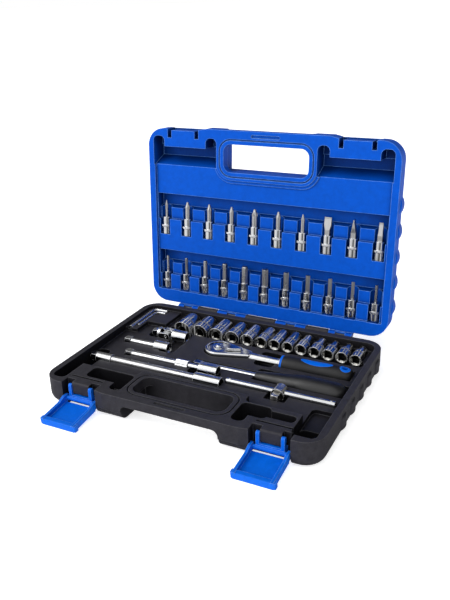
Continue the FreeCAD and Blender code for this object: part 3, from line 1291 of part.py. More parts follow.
def joint_cross():
    span = (-CROSS_HALF, CROSS_HALF)
    core = slab(span, span, span)
    reach = CROSS_HALF + YOKE_GAP + YOKE_ARM
    pins = [Part.makeCylinder(CROSS_PIN_R, 2 * reach, -axis * reach, axis) for axis in (ALONG_Y, UP)]
    return joint_place(fused([core] + pins))


# T-bar and hex keys

def tbar_rod():
    rod = Part.makeCylinder(TBAR_R, TBAR_LENGTH, vec(TBAR_START_X, TBAR_Y, TBAR_Z), ALONG_X)
    rod = rod.makeFillet(TBAR_R / 3, [e for e in rod.Edges if len(e.Vertexes) == 1])
    ends = (TBAR_START_X + TBAR_BALL_INSET, TBAR_START_X + TBAR_LENGTH - TBAR_BALL_INSET)
    balls = [Part.makeSphere(BALL_R, vec(x, TBAR_Y, TBAR_Z + TBAR_R + BALL_PROUD - BALL_R)) for x in ends]
    return fused([rod] + balls)


def tbar_slider():
    length = SLIDER_BACK + SLIDER_FRONT
    head = turned([(0, 0), (SLIDER_R - SLIDER_CHAMFER, 0), (SLIDER_R, SLIDER_CHAMFER), (SLIDER_R, length),
                   (0, length)])
    square = laid(drive_square(), vec(0, 0, length + DRIVE_LENGTH), -UP)
    slider = laid(fused([head, square]), vec(SLIDER_X, TBAR_Y + SLIDER_BACK, TBAR_Z), -ALONG_Y)
    bore_start = vec(SLIDER_X - 2 * SLIDER_R, TBAR_Y, TBAR_Z)
    return slider.cut(Part.makeCylinder(TBAR_R + SLIDER_BORE_CLEAR, 4 * SLIDER_R, bore_start, ALONG_X))


def hex_key(flats, long_arm, short_arm, x, y):
    """L key: hexagon swept along the long arm, the bend and the short arm."""
    z = KEY_LEDGE_Z
    r = KEY_BEND_R
    start = vec(x, y - long_arm, z)
    inset = r * (1 - math.sqrt(0.5))
    bend = [vec(x, y - r, z), vec(x + inset, y - inset, z), vec(x + r, y, z)]
    end = vec(x + short_arm, y, z)
    path = Part.Wire([Part.makeLine(start, bend[0]), Part.Arc(*bend).toShape(), Part.makeLine(bend[2], end)])
    corners = [start + vec(px, 0, py) for px, py in polygon_points(6, flats / math.sqrt(3.0), 0)]
    return path.makePipeShell([Part.makePolygon(corners + corners[:1])], True, False)


def hex_keys():
    return Part.makeCompound([hex_key(*key) for key in KEY_PLACES])


def all_nodes():
    nodes = {"base_shell": base_shell(), "lid_shell": lid_shell(), "hinge_rod": hinge_rod()}
    for word, side in (("left", -1), ("right", 1)):
        nodes["latch_clip_" + word] = latch_clip(side * LATCH_X)
        nodes["latch_flap_" + word] = latch_flap(side * LATCH_X)
    for name, nut, d, wide, x, z in socket_places():
        nodes["socket_" + name + "mm"] = laid(socket(nut, d, wide), vec(x, SOCKET_FRONT_Y, z), ALONG_Y)
    for row, foot_v in ((UPPER_ROW, UPPER_ROW_V), (LOWER_ROW, LOWER_ROW_V)):
        for name, kind, size, spin, x, y in bit_places(row, foot_v):
            nodes[name] = opened(laid(bit_socket(kind, size), vec(x, y, BIT_Z), -ALONG_Y, spin))
    makers = (ratchet_body, ratchet_cover, ratchet_drive, selector_lever, release_button, grip_core,
              grip_sleeve, spinner_shaft, spinner_handle, flex_ends, flex_shaft, joint_socket_yoke,
              joint_drive_yoke, joint_cross, tbar_rod, tbar_slider, hex_keys)
    for maker in makers:
        nodes[maker.__name__] = maker()
    long_tip = vec(LONG_TIP_X, LONG_Y, TOOL_AXIS_Z)
    short_tip = vec(SHORT_TIP_X, SHORT_Y, TOOL_AXIS_Z)
    nodes["extension_long"] = laid(socket_bar(LONG_SECTIONS), long_tip, ALONG_X)
    nodes["extension_short"] = laid(socket_bar(SHORT_SECTIONS), short_tip, ALONG_X)
    return nodes


def main():
    os.makedirs("parts", exist_ok=True)
    for name, shape in all_nodes().items():
        shape.exportStep("parts/" + name + ".step")


if __name__ == "__main__":
    main()
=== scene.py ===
"""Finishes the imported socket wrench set: materials, knurled bands, hinge sleeves and a plain studio."""
import math

import bmesh
import bpy
from mathutils import Matrix, Vector


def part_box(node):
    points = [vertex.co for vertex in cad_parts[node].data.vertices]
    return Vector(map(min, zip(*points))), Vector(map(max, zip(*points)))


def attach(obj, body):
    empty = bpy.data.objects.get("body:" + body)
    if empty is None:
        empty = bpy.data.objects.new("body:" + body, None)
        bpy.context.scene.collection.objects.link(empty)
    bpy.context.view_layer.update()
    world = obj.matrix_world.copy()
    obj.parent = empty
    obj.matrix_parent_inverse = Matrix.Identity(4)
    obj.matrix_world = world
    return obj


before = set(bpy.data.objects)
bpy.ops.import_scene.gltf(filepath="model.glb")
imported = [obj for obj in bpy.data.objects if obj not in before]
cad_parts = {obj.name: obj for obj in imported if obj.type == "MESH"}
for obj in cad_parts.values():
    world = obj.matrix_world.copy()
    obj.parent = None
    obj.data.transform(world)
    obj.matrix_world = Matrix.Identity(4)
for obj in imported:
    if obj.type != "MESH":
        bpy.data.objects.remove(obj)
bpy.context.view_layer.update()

bl_info = {
    "name": "Socket set finish",
    "version": (1, 0, 0),
    "blender": (4, 5, 0),
    "location": "View3D > Sidebar > Socket set",
    "description": "Materials, knurled bands, hinge sleeves and studio for a socket wrench set in its case",
    "category": "Material",
}

MM = 0.001

# Nodes that share a finish
UPPER_BITS = [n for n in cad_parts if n.startswith(("cross_bit", "slotted_bit"))]
LOWER_BITS = [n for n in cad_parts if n.startswith(("hex_bit", "star_bit"))]
SOCKETS = [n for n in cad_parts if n.startswith("socket_")]
LATCHES = [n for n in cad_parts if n.startswith("latch_")]
BARS = ["extension_long", "extension_short", "flex_ends", "spinner_shaft", "tbar_rod", "joint_socket_yoke",
        "joint_drive_yoke"]
RATCHET = ["ratchet_body", "ratchet_cover", "ratchet_drive", "selector_lever", "release_button"]

# Slope of the open lid, which the bits stand along
LID_TILT = math.radians(4.0)
SLOPE = Vector((0.0, math.sin(LID_TILT), math.cos(LID_TILT)))

# Bit holders: the ring is measured from the foot, the shoulder from the low corner of the bit's box
HOLDER_R = 4.7 * MM
RING_R = 5.5 * MM
RING_SPAN = (8.0 * MM, 10.4 * MM)
SHOULDER_RISE = 19.2 * MM
SHOULDER_BLEND = 0.2 * MM

# Knurled band of the long extension, measured from its left end
BAND_R = 4.6 * MM
BAND_SPAN = (57.2 * MM, 70.2 * MM)

# Black knuckles along the hinge, and the sleeves round them
KNUCKLE_SPANS = ((-74.0 * MM, -50.0 * MM), (-17.0 * MM, 17.0 * MM), (50.0 * MM, 74.0 * MM))
KNUCKLE_R = 3.0 * MM
SLEEVE_R = 3.65 * MM
SLEEVE_INSET = 0.15 * MM
SLEEVE_STEPS = 48

# Masks: the span of a noise that shows, and the turn of the surface that counts as an edge
NOISE_SPAN = (0.3, 0.7)
EDGE_SPAN = (0.995, 0.85)

# Moulded plastic
PIT_RATIO = 0.7
PIT_SHARE = 0.6
MOTTLE_SCALE = 160.0
# Share of the painted highlight along the edges of the mouldings, which rises with the mottle
EDGE_HIGHLIGHT_SHARES = (0.35, 0.9)
SATIN_STEPS = (-0.07, 0.08)
# Colour factor of the painted shade in the recesses of the mouldings
HOLLOW_SHADE = 0.25
GRAIN_DEPTH = 0.02 * MM
BASE_GRAIN_DEPTH = 0.06 * MM
LATCH_GRAIN_RATIO = 1.6
LATCH_EDGE_RATIO = 0.7
GRIP_GRAIN = 2400.0
RUBBER_GRAIN_DEPTH = 0.03 * MM
HANDLE_GRAIN = 2000.0
GRIP_EDGE = 0.5 * MM
INLAY_EDGE = 0.3 * MM

# Plated metal
HAIRLINE_STRETCH = (0.15, 6.0, 6.0)
HAIRLINE_TURN = (0.2, 0.3, 0.5)
HAIRLINE_DEPTH = 0.0004 * MM
SMUDGE_SCALE = 90.0
SMUDGE_SPAN = (0.35, 0.7)
SMUDGE_SHADES = (0.94, 1.05)
# Dark bores and recesses of plated metal: partly the unplated steel inside, partly painted shade
BORE_STEEL_AND_SHADE = 0.06
# Painted highlight on plated rims: a light, less metallic colour along the edges
RIM_HIGHLIGHT_COLOUR = (0.85, 0.86, 0.88)
RIM_HIGHLIGHT_SHARE = 0.7
# Painted reflection streaks along the socket walls
REFLECTION_STREAK_STRETCH = (1.0, 0.03, 0.03)
REFLECTION_STREAK_SCALE = 520.0
REFLECTION_STREAK_SPAN = (0.54, 0.68)
REFLECTION_STREAK_SHARE = 0.55
# The hinge rod is darkened to a small share of the chrome: painted shade in the hinge windows
ROD_PAINTED_SHADE = 0.12
KEY_SHADE = 0.85

# Bits and the wound shaft
HOLDER_GLOSS = (0.06, 0.14)
STEEL_DULLING = 0.2
BIT_HAIRLINE_DEPTH = 0.0006 * MM
WINDING_SCALE = 280.0
WINDING_DEPTH = 0.03 * MM
WINDING_SHADES = (0.85, 1.15)
WINDING_GLOSS = (0.24, 0.36)

# Studio: tones of the floor in polished metal, from the middle of the view outwards, and the bright horizon
MIRROR_REACH = (0.06, 0.4)
MIRROR_TONES = (0.06, 0.75)
FLOOR_MOTTLE = 3.0
FLOOR_SHADE = 0.99
HORIZON = (0.02, 0.1)
WHITE = (1.0, 1.0, 1.0)
CEILING_AIM = (0.5, 0.85, -0.38)
KEY_PLACE, KEY_TARGET, KEY_SIZE = (-0.6, -0.5, 0.8), (0.0, 0.0, 0.05), (0.3, 0.6)
FILL_PLACE, FILL_TARGET, FILL_SIZE = (0.95, -0.3, 0.55), (0.0, 0.0, 0.08), (0.3, 0.7)


# Properties


class CaseFinish(bpy.types.PropertyGroup):
    """Colours and grain of the case."""

    lid_colour: bpy.props.FloatVectorProperty(
        name="Lid", description="Colour of the lid", subtype="COLOR", size=3,
        default=(0.0, 0.066, 0.434))
    latch_colour: bpy.props.FloatVectorProperty(
        name="Latches", description="Colour of the latches and grip inlay", subtype="COLOR", size=3,
        default=(0.0, 0.11, 0.6))
    base_colour: bpy.props.FloatVectorProperty(
        name="Base", description="Colour of the base", subtype="COLOR", size=3,
        default=(0.029, 0.028, 0.034))
    grain: bpy.props.FloatProperty(
        name="Grain", description="Moulded grain per metre", default=1500.0, min=100.0)
    # Colour of the painted highlight along the edges of the blue lid, latches and grip inlay
    lid_edge_highlight: bpy.props.FloatVectorProperty(
        name="Lid edges", description="Pale rubbed edges of the blue mouldings", subtype="COLOR", size=3,
        default=(0.16, 0.36, 0.85))
    # Colour of the painted highlight along the edges of the black base and the black handles
    base_edge_highlight: bpy.props.FloatVectorProperty(
        name="Base edges", description="Grey rubbed edges of the black mouldings", subtype="COLOR", size=3,
        default=(0.085, 0.086, 0.095))
    edge_radius: bpy.props.FloatProperty(
        name="Edge", description="Soft edge of the mouldings", subtype="DISTANCE", default=0.0011, min=0.0)


class ToolFinish(bpy.types.PropertyGroup):
    """Metal, grips and knurling of the tools."""

    chrome_colour: bpy.props.FloatVectorProperty(
        name="Chrome", description="Colour of the plated tools", subtype="COLOR", size=3,
        default=(0.5, 0.506, 0.516))
    socket_colour: bpy.props.FloatVectorProperty(
        name="Sockets", description="Colour of the plated sockets", subtype="COLOR", size=3,
        default=(0.44, 0.43, 0.405))
    steel_colour: bpy.props.FloatVectorProperty(
        name="Bit steel", description="Colour of the bits", subtype="COLOR", size=3,
        default=(0.36, 0.36, 0.365))
    sleeve_colour: bpy.props.FloatVectorProperty(
        name="Sleeve", description="Colour of the wound shaft", subtype="COLOR", size=3,
        default=(0.42, 0.42, 0.43))
    rubber_colour: bpy.props.FloatVectorProperty(
        name="Grip", description="Colour of the black grips", subtype="COLOR", size=3,
        default=(0.006, 0.006, 0.007))
    edge_radius: bpy.props.FloatProperty(
        name="Edge", description="Soft edge of the tools", subtype="DISTANCE", default=0.0008, min=0.0)
    knurl_teeth: bpy.props.IntProperty(
        name="Knurl", description="Teeth round a knurled band", default=34, min=8)
    knurl_depth: bpy.props.FloatProperty(
        name="Knurl depth", description="Height of the knurl", subtype="DISTANCE", default=0.00022, min=0.0)


class StudioSetup(bpy.types.PropertyGroup):
    """Camera, floor and lights."""

    camera_place: bpy.props.FloatVectorProperty(
        name="Camera", description="Place of the camera", subtype="TRANSLATION", size=3,
        default=(0.27118, -0.50832, 0.33037))
    azimuth: bpy.props.FloatProperty(
        name="Azimuth", description="Side that the camera stands on", subtype="ANGLE",
        default=math.radians(27.304))
    elevation: bpy.props.FloatProperty(
        name="Elevation", description="Downward tilt of the view", subtype="ANGLE",
        default=math.radians(23.098))
    roll: bpy.props.FloatProperty(
        name="Roll", description="Roll of the view", subtype="ANGLE", default=math.radians(-1.842))
    lens: bpy.props.FloatProperty(name="Lens", description="Focal length", unit="CAMERA", default=41.93)
    floor_colour: bpy.props.FloatVectorProperty(
        name="Floor", description="Colour of the floor", subtype="COLOR", size=3,
        default=(0.93, 0.93, 0.93))
    floor_reach: bpy.props.FloatProperty(
        name="Floor reach", description="Half width of the floor", subtype="DISTANCE",
        default=300.0, min=1.0)
    floor_glow: bpy.props.FloatProperty(
        name="Floor glow", description="Light that the floor gives off", default=0.68, min=0.0)
    sky: bpy.props.FloatProperty(name="Sky", description="Strength of the even light", default=0.2, min=0.0)
    sun: bpy.props.FloatProperty(
        name="Ceiling", description="Strength of the wide light", default=3.6, min=0.0)
    sun_spread: bpy.props.FloatProperty(
        name="Spread", description="Width of the wide light", subtype="ANGLE", default=math.radians(130.0))
    key: bpy.props.FloatProperty(
        name="Key", description="Power of the key light", unit="POWER", default=3.5)
    fill: bpy.props.FloatProperty(
        name="Fill", description="Power of the fill light", unit="POWER", default=1.5)


# Nodes


def link(tree, source, target):
    tree.links.new(source, target)


def feed(tree, socket, value):
    """Links a socket to what feeds it, or sets it to a number or a colour."""
    if isinstance(value, bpy.types.NodeSocket):
        link(tree, value, socket)
    elif isinstance(value, (int, float)):
        socket.default_value = value
    else:
        socket.default_value = (*value, 1.0)


def new_node(tree, kind, **settings):
    node = tree.nodes.new(kind)
    for key, value in settings.items():
        setattr(node, key, value)
    return node


def maths(tree, operation, *values):
    node = new_node(tree, "ShaderNodeMath", operation=operation)
    for socket, value in zip(node.inputs, values):
        feed(tree, socket, value)
    return node.outputs[0]


def ranged(tree, value, span, ends=(0.0, 1.0)):
    """Runs from one end to the other over a span of the value, and stays at the ends outside it."""
    node = new_node(tree, "ShaderNodeMapRange", clamp=True)
    for key, limit in zip(("From Min", "From Max", "To Min", "To Max"), (*span, *ends)):
        feed(tree, node.inputs[key], limit)
    feed(tree, node.inputs["Value"], value)
    return node.outputs["Result"]


def own_place(tree):
    """Coordinates of the piece itself."""
    return new_node(tree, "ShaderNodeTexCoord").outputs["Object"]


def stretched(tree, coords, scale, turn=(0.0, 0.0, 0.0)):
    """Coordinates that draw a pattern out along one direction."""
    mapping = new_node(tree, "ShaderNodeMapping")
    mapping.inputs["Scale"].default_value = scale
    mapping.inputs["Rotation"].default_value = turn
    link(tree, coords, mapping.inputs["Vector"])
    return mapping.outputs[0]


def along(tree, direction):
    """Distance along a fixed direction."""
    dot = new_node(tree, "ShaderNodeVectorMath", operation="DOT_PRODUCT")
    dot.inputs[1].default_value = direction
    link(tree, own_place(tree), dot.inputs[0])
    return dot.outputs["Value"]


def noise(tree, coords, scale, detail=3.0, rough=0.5):
    node = new_node(tree, "ShaderNodeTexNoise")
    for key, value in (("Vector", coords), ("Scale", scale), ("Detail", detail), ("Roughness", rough)):
        feed(tree, node.inputs[key], value)
    return node.outputs[0]


def blended(tree, mask, start, end):
    """Colour that runs from start to end as the mask rises; each may be fixed or change over the surface."""
    mix = new_node(tree, "ShaderNodeMix", data_type="RGBA")
    for key, value in (("Factor", mask), ("A", start), ("B", end)):
        feed(tree, mix.inputs[key], value)
    return mix.outputs["Result"]


def bumped(tree, height, normal, depth):
    bump = new_node(tree, "ShaderNodeBump")
    for key, value in (("Strength", 1.0), ("Distance", depth), ("Height", height), ("Normal", normal)):
        feed(tree, bump.inputs[key], value)
    return bump.outputs["Normal"]


# Shared node groups


def group_shell(name, inputs, outputs):
    """Empty shader group with its named sockets."""
    tree = bpy.data.node_groups.new(name, "ShaderNodeTree")
    for label, value in inputs:
        socket = tree.interface.new_socket(name=label, in_out="INPUT", socket_type="NodeSocketFloat")
        socket.default_value = value
    for label, kind in outputs:
        tree.interface.new_socket(name=label, in_out="OUTPUT", socket_type=kind)
    return tree, new_node(tree, "NodeGroupInput"), new_node(tree, "NodeGroupOutput")


def moulded_grain():
    """Fine spark-eroded grain with a slow mottle, as on blow-moulded cases."""
    tree, inside, outside = group_shell("moulded_grain", [("Scale", 1500.0)],
                                        [("Height", "NodeSocketFloat"), ("Mottle", "NodeSocketFloat")])
    coords = own_place(tree)
    fine = noise(tree, coords, inside.outputs["Scale"], detail=2.0)
    pits = new_node(tree, "ShaderNodeTexVoronoi", feature="F1")
    link(tree, coords, pits.inputs["Vector"])
    link(tree, maths(tree, "MULTIPLY", inside.outputs["Scale"], PIT_RATIO), pits.inputs["Scale"])
    height = maths(tree, "ADD", fine, maths(tree, "MULTIPLY", pits.outputs["Distance"], PIT_SHARE))
    link(tree, height, outside.inputs["Height"])
    link(tree, noise(tree, coords, MOTTLE_SCALE, detail=5.0, rough=0.75), outside.inputs["Mottle"])
    return tree


def soft_edges():
    """Rounded edge normal and a mask of the edges."""
    tree, inside, outside = group_shell("soft_edges", [("Radius", 0.001)],
                                        [("Normal", "NodeSocketVector"), ("Edge", "NodeSocketFloat")])
    bevel = new_node(tree, "ShaderNodeBevel", samples=6)
    link(tree, inside.outputs["Radius"], bevel.inputs["Radius"])
    turn = new_node(tree, "ShaderNodeVectorMath", operation="DOT_PRODUCT")
    link(tree, bevel.outputs[0], turn.inputs[0])
    link(tree, new_node(tree, "ShaderNodeNewGeometry").outputs["Normal"], turn.inputs[1])
    link(tree, bevel.outputs[0], outside.inputs["Normal"])
    link(tree, ranged(tree, turn.outputs["Value"], EDGE_SPAN), outside.inputs["Edge"])
    return tree


def hairlines():
    """Fine handling scratches and smudges on plated metal."""
    tree, inside, outside = group_shell("hairlines", [("Scale", 300.0)],
                                        [("Lines", "NodeSocketFloat"), ("Smudge", "NodeSocketFloat")])
    coords = own_place(tree)
    drawn = stretched(tree, coords, HAIRLINE_STRETCH, HAIRLINE_TURN)
    link(tree, noise(tree, drawn, inside.outputs["Scale"], detail=4.0, rough=0.7), outside.inputs["Lines"])
    link(tree, noise(tree, coords, SMUDGE_SCALE, rough=0.55), outside.inputs["Smudge"])
    return tree


def shaded_recesses():
    """Mask of the holes and recesses of a piece, from how closely the piece closes round each point; the
    materials darken there as painted shade, in plated metal also as the unplated steel inside.
    """
    tree, inside, outside = group_shell("shaded_recesses", [("Reach", 0.008), ("Open", 0.78), ("Shut", 0.5)],
                                        [("Deep", "NodeSocketFloat")])
    near = new_node(tree, "ShaderNodeAmbientOcclusion", samples=8, only_local=True)
    link(tree, inside.outputs["Reach"], near.inputs["Distance"])
    deep = ranged(tree, near.outputs["AO"], (inside.outputs["Open"], inside.outputs["Shut"]))
    link(tree, deep, outside.inputs["Deep"])
    return tree


GROUP_MAKERS = {"moulded_grain": moulded_grain, "soft_edges": soft_edges, "hairlines": hairlines,
                "shaded_recesses": shaded_recesses}
GROUPS = {}


def group(tree, name, **values):
    """Places a shared group in a material with its own values."""
    if name not in GROUPS:
        GROUPS[name] = GROUP_MAKERS[name]()
    node = new_node(tree, "ShaderNodeGroup", node_tree=GROUPS[name])
    for key, value in values.items():
        node.inputs[key].default_value = value
    return node.outputs


# Materials


def blank(name, roughness, metallic=0.0, specular=0.5):
    """New material with plain values, which stay where no node feeds the socket."""
    material = bpy.data.materials.new(name)
    material.use_nodes = True
    shader = material.node_tree.nodes["Principled BSDF"]
    shader.inputs["Roughness"].default_value = roughness
    shader.inputs["Metallic"].default_value = metallic
    shader.inputs["Specular IOR Level"].default_value = specular
    return material, material.node_tree, shader


def shade(colour, factor):
    return tuple(min(1.0, c * factor) for c in colour)


def moulded_plastic(name, colour, edge_highlight_colour, grain, edge, roughness, depth=GRAIN_DEPTH, gloss=0.12,
                    mottle=0.3, **hollow):
    """Grained moulding: mottled colour, a painted highlight along the edges and, where limits are given,
    painted shade in the recesses.
    """
    material, tree, shader = blank(name, roughness, specular=gloss)
    surface = group(tree, "moulded_grain", Scale=grain)
    edges = group(tree, "soft_edges", Radius=edge)
    body = blended(tree, surface["Mottle"], shade(colour, 1.0 - mottle), shade(colour, 1.0 + mottle))
    # Painted shade: where limits are given, the recesses darken towards a share of the colour
    if hollow:
        body = blended(tree, group(tree, "shaded_recesses", **hollow)["Deep"], body, shade(colour, HOLLOW_SHADE))
    # Painted highlight: a lighter colour laid along the edges, where a rounded edge would catch the light
    painted_edge_mask = maths(tree, "MULTIPLY", edges["Edge"], ranged(tree, surface["Mottle"], NOISE_SPAN, EDGE_HIGHLIGHT_SHARES))
    satin = ranged(tree, surface["Mottle"], NOISE_SPAN, [roughness + step for step in SATIN_STEPS])
    link(tree, blended(tree, painted_edge_mask, body, edge_highlight_colour), shader.inputs["Base Color"])
    link(tree, satin, shader.inputs["Roughness"])
    link(tree, bumped(tree, surface["Height"], edges["Normal"], depth), shader.inputs["Normal"])
    return material


def painted_reflection_streaks(tree):
    """Mask of painted reflection streaks: light lines that run along a polished socket wall, as a white lamp
    would show in it.
    """
    drawn = stretched(tree, own_place(tree), REFLECTION_STREAK_STRETCH)
    return ranged(tree, noise(tree, drawn, REFLECTION_STREAK_SCALE, detail=2.0), REFLECTION_STREAK_SPAN, (0.0, REFLECTION_STREAK_SHARE))


def plated_metal(name, colour, edge, clean=0.1, smudged=0.2, painted_streaks=False):
    """Plating with hairlines and smudges, a painted highlight on the rims, dark bores that are partly the
    unplated steel inside and partly painted shade, and, where asked, painted reflection streaks.
    """
    material, tree, shader = blank(name, clean, metallic=1.0)
    lines = group(tree, "hairlines", Scale=300.0)
    edges = group(tree, "soft_edges", Radius=edge)
    shades = [shade(colour, factor) for factor in SMUDGE_SHADES]
    bright = blended(tree, lines["Smudge"], *shades)
    # Painted highlight: light colour with less metal along the edges
    painted_highlight = maths(tree, "MULTIPLY", edges["Edge"], RIM_HIGHLIGHT_SHARE)
    # Painted reflection streaks join the painted highlight
    if painted_streaks:
        painted_highlight = maths(tree, "MAXIMUM", painted_highlight, painted_reflection_streaks(tree))
    # Bores and recesses darken, partly as the unplated steel inside and partly as painted shade; the painted
    # highlight stays out of them
    deep = group(tree, "shaded_recesses")["Deep"]
    painted_highlight = maths(tree, "MULTIPLY", painted_highlight, maths(tree, "SUBTRACT", 1.0, deep))
    plated = blended(tree, painted_highlight, bright, RIM_HIGHLIGHT_COLOUR)
    link(tree, blended(tree, deep, plated, shade(colour, BORE_STEEL_AND_SHADE)), shader.inputs["Base Color"])
    link(tree, maths(tree, "SUBTRACT", 1.0, painted_highlight), shader.inputs["Metallic"])
    link(tree, ranged(tree, lines["Smudge"], SMUDGE_SPAN, (clean, smudged)), shader.inputs["Roughness"])
    link(tree, bumped(tree, lines["Lines"], edges["Normal"], HAIRLINE_DEPTH), shader.inputs["Normal"])
    return material


def bit_metal(name, shoulder, finish):
    """Plated holder below the shoulder, grey ground steel above it."""
    material, tree, shader = blank(name, roughness=0.1, metallic=1.0)
    lines = group(tree, "hairlines", Scale=420.0)
    edges = group(tree, "soft_edges", Radius=finish.edge_radius)
    steel = ranged(tree, along(tree, SLOPE), (shoulder, shoulder + SHOULDER_BLEND))
    body = blended(tree, steel, finish.chrome_colour, finish.steel_colour)
    gloss = ranged(tree, lines["Smudge"], NOISE_SPAN, HOLDER_GLOSS)
    gloss = maths(tree, "ADD", gloss, maths(tree, "MULTIPLY", steel, STEEL_DULLING))
    link(tree, body, shader.inputs["Base Color"])
    link(tree, gloss, shader.inputs["Roughness"])
    link(tree, bumped(tree, lines["Lines"], edges["Normal"], BIT_HAIRLINE_DEPTH), shader.inputs["Normal"])
    return material


def wound_sleeve(name, finish):
    """Satin shaft with the fine turns of its winding showing through."""
    material, tree, shader = blank(name, roughness=0.3, metallic=1.0)
    turns = new_node(tree, "ShaderNodeTexWave", wave_type="BANDS", bands_direction="X", wave_profile="SIN")
    turns.inputs["Scale"].default_value = WINDING_SCALE
    link(tree, own_place(tree), turns.inputs["Vector"])
    lines = group(tree, "hairlines", Scale=200.0)
    edges = group(tree, "soft_edges", Radius=finish.edge_radius)
    shades = [shade(finish.sleeve_colour, factor) for factor in WINDING_SHADES]
    body = blended(tree, lines["Smudge"], *shades)
    link(tree, body, shader.inputs["Base Color"])
    link(tree, ranged(tree, lines["Smudge"], NOISE_SPAN, WINDING_GLOSS), shader.inputs["Roughness"])
    link(tree, bumped(tree, turns.outputs["Fac"], edges["Normal"], WINDING_DEPTH), shader.inputs["Normal"])
    return material


def dress(names, material):
    """Gives nodes of the frame one material."""
    for name in names:
        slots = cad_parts[name].data.materials
        slots.clear()
        slots.append(material)


# Shapes


def mesh_of(shape, name):
    """Mesh of a finished bmesh, which is freed."""
    mesh = bpy.data.meshes.new(name)
    shape.to_mesh(mesh)
    shape.free()
    return mesh


def placed(context, name, data):
    """New object in the scene."""
    thing = bpy.data.objects.new(name, data)
    context.collection.objects.link(thing)
    return thing


def knurled_band(name, radius, root, length, teeth):
    """Straight-toothed ring along Z with chamfered ends that run in to the root radius."""
    shape = bmesh.new()
    bmesh.ops.create_circle(shape, segments=2 * teeth, radius=root)
    rise = radius - root
    edges = list(shape.edges)
    for grow, lift in ((radius / root, rise), (1.0, length - 2 * rise), (root / radius, rise)):
        step = bmesh.ops.extrude_edge_only(shape, edges=edges)["geom"]
        loop = [v for v in step if isinstance(v, bmesh.types.BMVert)]
        edges = [e for e in step if isinstance(e, bmesh.types.BMEdge)]
        bmesh.ops.translate(shape, verts=loop, vec=(0.0, 0.0, lift))
        bmesh.ops.scale(shape, verts=loop, vec=(grow, grow, 1.0))
    every_other = [v for v in shape.verts if round(math.atan2(v.co.y, v.co.x) * teeth / math.pi) % 2]
    valleys = [v for v in every_other if v.co.to_2d().length > (radius + root) / 2]
    bmesh.ops.scale(shape, verts=valleys, vec=(1.0 - rise / radius, 1.0 - rise / radius, 1.0))
    bmesh.ops.recalc_face_normals(shape, faces=shape.faces)
    return mesh_of(shape, name)


def sleeve(name, span, axis):
    """Closed ring round the hinge axis with small chamfers on its ends."""
    shape = bmesh.new()
    start, end = span
    chamfer = SLEEVE_R - KNUCKLE_R
    outline = ((start, KNUCKLE_R), (start + chamfer, SLEEVE_R), (end - chamfer, SLEEVE_R), (end, KNUCKLE_R))
    points = [shape.verts.new((x, axis.y, axis.z + radius)) for x, radius in outline]
    edges = [shape.edges.new((points[k - 1], points[k])) for k in range(len(points))]
    bmesh.ops.spin(shape, geom=points + edges, cent=axis, axis=(1.0, 0.0, 0.0), angle=2 * math.pi,
                   steps=SLEEVE_STEPS, use_merge=True)
    bmesh.ops.recalc_face_normals(shape, faces=shape.faces)
    return mesh_of(shape, name)


# Operators


class ShellsFinish(bpy.types.Operator):
    """Grained plastic on the two case shells"""

    bl_idname = "socketset.shells"
    bl_label = "Case shells"

    def execute(self, context):
        case = context.scene.socketset_case
        # Reach, Open and Shut set the painted shade in the recesses of the lid and the base
        blue = moulded_plastic("lid_blue_moulding", case.lid_colour, case.lid_edge_highlight, case.grain,
                               case.edge_radius, roughness=0.5, gloss=0.06,
                               Reach=0.025, Open=0.85, Shut=0.35)
        black = moulded_plastic("base_black_moulding", case.base_colour, case.base_edge_highlight, case.grain,
                                case.edge_radius, roughness=0.42, depth=BASE_GRAIN_DEPTH, gloss=0.1,
                                mottle=0.6, Reach=0.06, Open=1.0, Shut=0.55)
        dress(["lid_shell"], blue)
        dress(["base_shell"], black)
        return {"FINISHED"}


class LatchesFinish(bpy.types.Operator):
    """Smoother plastic on the latches and steel on the hinge rod, darkened as painted shade in the hinge
    windows
    """

    bl_idname = "socketset.latches"
    bl_label = "Latches and hinge"

    def execute(self, context):
        case = context.scene.socketset_case
        tool = context.scene.socketset_tool
        blue = moulded_plastic("latch_blue_moulding", case.latch_colour, case.lid_edge_highlight,
                               case.grain * LATCH_GRAIN_RATIO, case.edge_radius * LATCH_EDGE_RATIO,
                               roughness=0.4)
        steel = plated_metal("hinge_rod_steel", shade(tool.chrome_colour, ROD_PAINTED_SHADE), tool.edge_radius,
                             clean=0.3, smudged=0.45)
        dress(LATCHES, blue)
        dress(["hinge_rod"], steel)
        return {"FINISHED"}


class MetalFinish(bpy.types.Operator):
    """Plating on sockets, bars and the ratchet, steel on bits, keys and the wound shaft"""

    bl_idname = "socketset.metal"
    bl_label = "Metal tools"

    def execute(self, context):
        tool = context.scene.socketset_tool
        chrome = plated_metal("tool_chrome", tool.chrome_colour, tool.edge_radius)
        # Sockets and the slider carry painted reflection streaks
        painted_streak_chrome = plated_metal("socket_chrome", tool.socket_colour, tool.edge_radius,
                               clean=0.16, smudged=0.26, painted_streaks=True)
        nickel = plated_metal("key_nickel", shade(tool.chrome_colour, KEY_SHADE), tool.edge_radius,
                              clean=0.16, smudged=0.3)
        dress(BARS + RATCHET, chrome)
        dress(SOCKETS + ["tbar_slider"], painted_streak_chrome)
        dress(["hex_keys", "joint_cross"], nickel)
        dress(["flex_shaft"], wound_sleeve("flex_sleeve_satin", tool))
        for names, row in ((UPPER_BITS, "upper"), (LOWER_BITS, "lower")):
            low = Vector(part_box(names[0])[0])
            dress(names, bit_metal("bit_steel_" + row, low.dot(SLOPE) + SHOULDER_RISE, tool))
        return {"FINISHED"}


